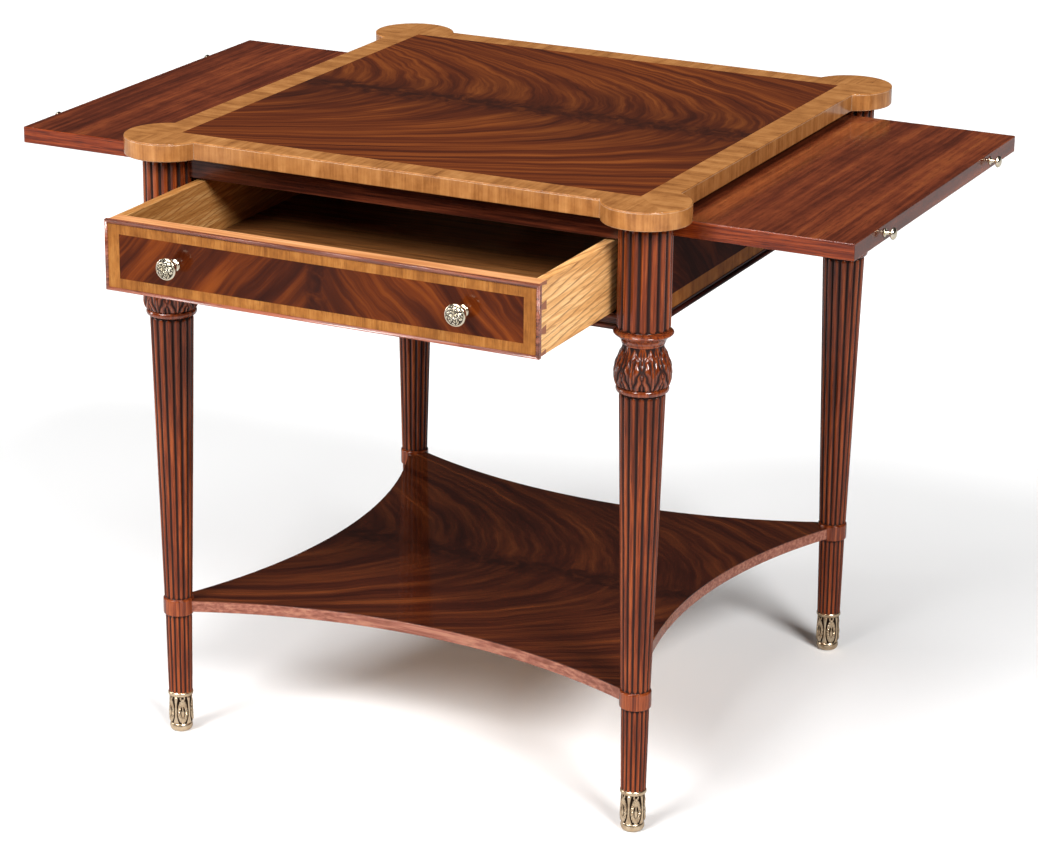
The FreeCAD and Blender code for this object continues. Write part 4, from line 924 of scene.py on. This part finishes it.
pull_radius = 0.0065
pull_rows = (
    stepped([(0.0, 0.0), (0.0044, 0.0)], 0.003)
    + curved([(0.0046, 0.0002), (0.0046, 0.0010), (0.0042, 0.0013)], 0.0004)
    + curved([(0.0030, 0.0014), (0.0023, 0.0026), (0.0021, 0.0044), (0.0022, 0.0062),
              (0.0032, 0.0073), (0.0054, 0.0080), (0.0064, 0.0090), (pull_radius, 0.0100),
              (0.0060, 0.0113), (0.0042, 0.0125), (0.0020, 0.0131), (0.0, 0.0132)], 0.0005)
)
pull_shape = turn_shape(pull_rows, 64)
pull_shape.verts.layers.float.new("hollow")
for side, sign in (("left", -1), ("right", 1)):
    low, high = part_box(f"slide_knobs_{side}")
    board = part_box(f"slide_board_{side}")
    edge = board[1].x if sign > 0 else board[0].x
    reach = (high.y - low.y) / 2 - pull_radius
    for end, y in (("front", -reach), ("back", reach)):
        stand = Matrix.Translation((edge, y, (low.z + high.z) / 2))
        add_piece(f"slide_pull_{side}_{end}", pull_shape, polished_brass,
                  f"slide_{side}", [f"slide_knobs_{side}"] if end == "front" else [],
                  stand @ Matrix.Rotation(sign * math.radians(90), 4, "Y"))
pull_shape.free()


# ------------------------------------------------------------------ drawer box
# A front core of pale orange wood like cedar, browner on its end grain, shows along
# the top edge and in the dovetails.  Sides, back and bottom are golden oak, waxed.

front_core, tree, shader = new_material("drawer_core_wood", Roughness=0.42, Coat_Weight=0.35,
                                        Coat_Roughness=0.2)
wood = grain(tree, "X", 0.0050, 0.0009, 0.3)
colour = stained(tree, wood, [(0.0, "#b87443"), (0.5, "#d0905c"), (1.0, "#e0a874")], "#94572e")
facing = put(tree, "SeparateXYZ", {0: put(tree, "TexCoord").outputs["Normal"]}).outputs[0]
end_grain = spread(tree, maths(tree, "ABSOLUTE", facing), 0.5, 0.7)
tree.links.new(blend(tree, end_grain, colour, shade("#8e5232")), shader.inputs["Base Color"])
relief(tree, shader, wood.outputs["Height"], 0.0001)
finish_nodes(front_core, "drawer_front")


def oak(name, along, stops, line_gap=0.0052):
    """Waxed oak with its grain along one axis and dark growth lines rising through it."""
    made, tree, shader = new_material(name, Roughness=0.38, Specular_IOR_Level=0.3)
    wood = grain(tree, along, 0.0030, 0.0010, 0.5)
    wide = grain(tree, along, 0.0200, 0.0010, 0.0, shift=(0.2, 0.1, 0.4))
    spot = put(tree, "TexCoord").outputs["Object"]
    parts = put(tree, "SeparateXYZ", {0: spot}).outputs
    length, width, depth = (parts[i] for i in grain_order[along])
    run = put(tree, "CombineXYZ", {0: maths(tree, "MULTIPLY", length, 0.12),
                                   1: width, 2: depth}).outputs[0]
    wander = put(tree, "TexNoise", {"Vector": run, "Scale": 34.0, "Detail": 3.0}).outputs["Fac"]
    climb = maths(tree, "MULTIPLY", length, 0.13)
    rise = maths(tree, "ADD", width, maths(tree, "MULTIPLY", depth, 0.8))
    rings = maths(tree, "SUBTRACT", rise, climb)
    rings = maths(tree, "ADD", rings, maths(tree, "MULTIPLY", wander, 0.016))
    saw = maths(tree, "FRACT", maths(tree, "DIVIDE", rings, line_gap))
    broken = maths(tree, "ADD", maths(tree, "MULTIPLY", wood.outputs["Streak"], 0.6), 0.35)
    line = maths(tree, "MULTIPLY", spread(tree, saw, 0.62, 0.97), broken)
    tone = maths(tree, "ADD", maths(tree, "MULTIPLY", wood.outputs["Streak"], 0.5),
                 maths(tree, "MULTIPLY", wide.outputs["Streak"], 0.5))
    colour = blend(tree, line, ramp(tree, tone, stops), shade("#8a5428"))
    colour = blend(tree, wood.outputs["Pores"], colour, shade("#7d4c22"))
    tree.links.new(colour, shader.inputs["Base Color"])
    # Painted highlight: a paler line is painted along the eased edges.
    relief(tree, shader, wood.outputs["Height"], 0.00018, easing=0.0008, rubbing_and_highlight="#e6bf8c")
    return made


oak_sides = oak("oak_sides", "Y", [(0.1, "#c78b4f"), (0.5, "#e6af71"), (0.9, "#fbce94")],
                line_gap=0.0080)
# Painted shade: the back, the bottom and the left side, seen inside the drawer, are the same oak
# coloured darker for the shade there.
oak_back = oak("oak_back", "X", [(0.1, "#7d4d22"), (0.5, "#97622f"), (0.9, "#ad7741")])
oak_bottom = oak("oak_bottom", "X", [(0.1, "#3f210d"), (0.5, "#684020"), (0.9, "#8e6037")],
                 line_gap=0.0110)
oak_left = oak("oak_left_side", "Y", [(0.1, "#935f2d"), (0.5, "#b17c44"), (0.9, "#c89a61")])
finish_nodes(oak_sides, "drawer_side_right")
finish_nodes(oak_left, "drawer_side_left")
finish_nodes(oak_back, "drawer_back")
finish_nodes(oak_bottom, "drawer_bottom")


# ------------------------------------------------------------------ hidden work
# Plain beech left from the plane: the cores of the top and shelf, runners,
# guides, stops, pegs and dowels.  Screws are zinc plated.

bare_wood, tree, shader = new_material("bare_beech", Roughness=0.6)
wood = grain(tree, "X", 0.0060, 0.0010, 0.4)
colour = stained(tree, wood, [(0.0, "#7a5230"), (0.5, "#946a41"), (1.0, "#aa8052")], "#5c3b20")
tree.links.new(colour, shader.inputs["Base Color"])
relief(tree, shader, wood.outputs["Height"], 0.00015)
finish_nodes(bare_wood, "top_board", "shelf_board", "drawer_runner_left", "drawer_runner_right",
             "drawer_guide_left", "drawer_guide_right", "slide_guide_front", "slide_guide_back",
             "slide_centre_stop", "slide_stop_strip_left", "slide_stop_strip_right",
             "drawer_stop_blocks", "top_dowels", "shelf_dowels", "slide_pegs_left",
             "slide_pegs_right")

zinc, tree, shader = new_material("zinc_plate", Metallic=1.0)
spot = put(tree, "TexCoord").outputs["Object"]
wear_and_highlight = put(tree, "TexNoise", {"Vector": spot, "Scale": 400.0, "Detail": 3.0})
metal = ramp(tree, wear_and_highlight.outputs["Fac"], [(0.3, "#7f7d78"), (0.7, "#aaa8a2")])
tree.links.new(metal, shader.inputs["Base Color"])
tree.links.new(spread(tree, wear_and_highlight.outputs["Fac"], 0.3, 0.7, 0.3, 0.5), shader.inputs["Roughness"])
finish_nodes(zinc, "top_screws", "drawer_bottom_screws", "drawer_knob_screws")
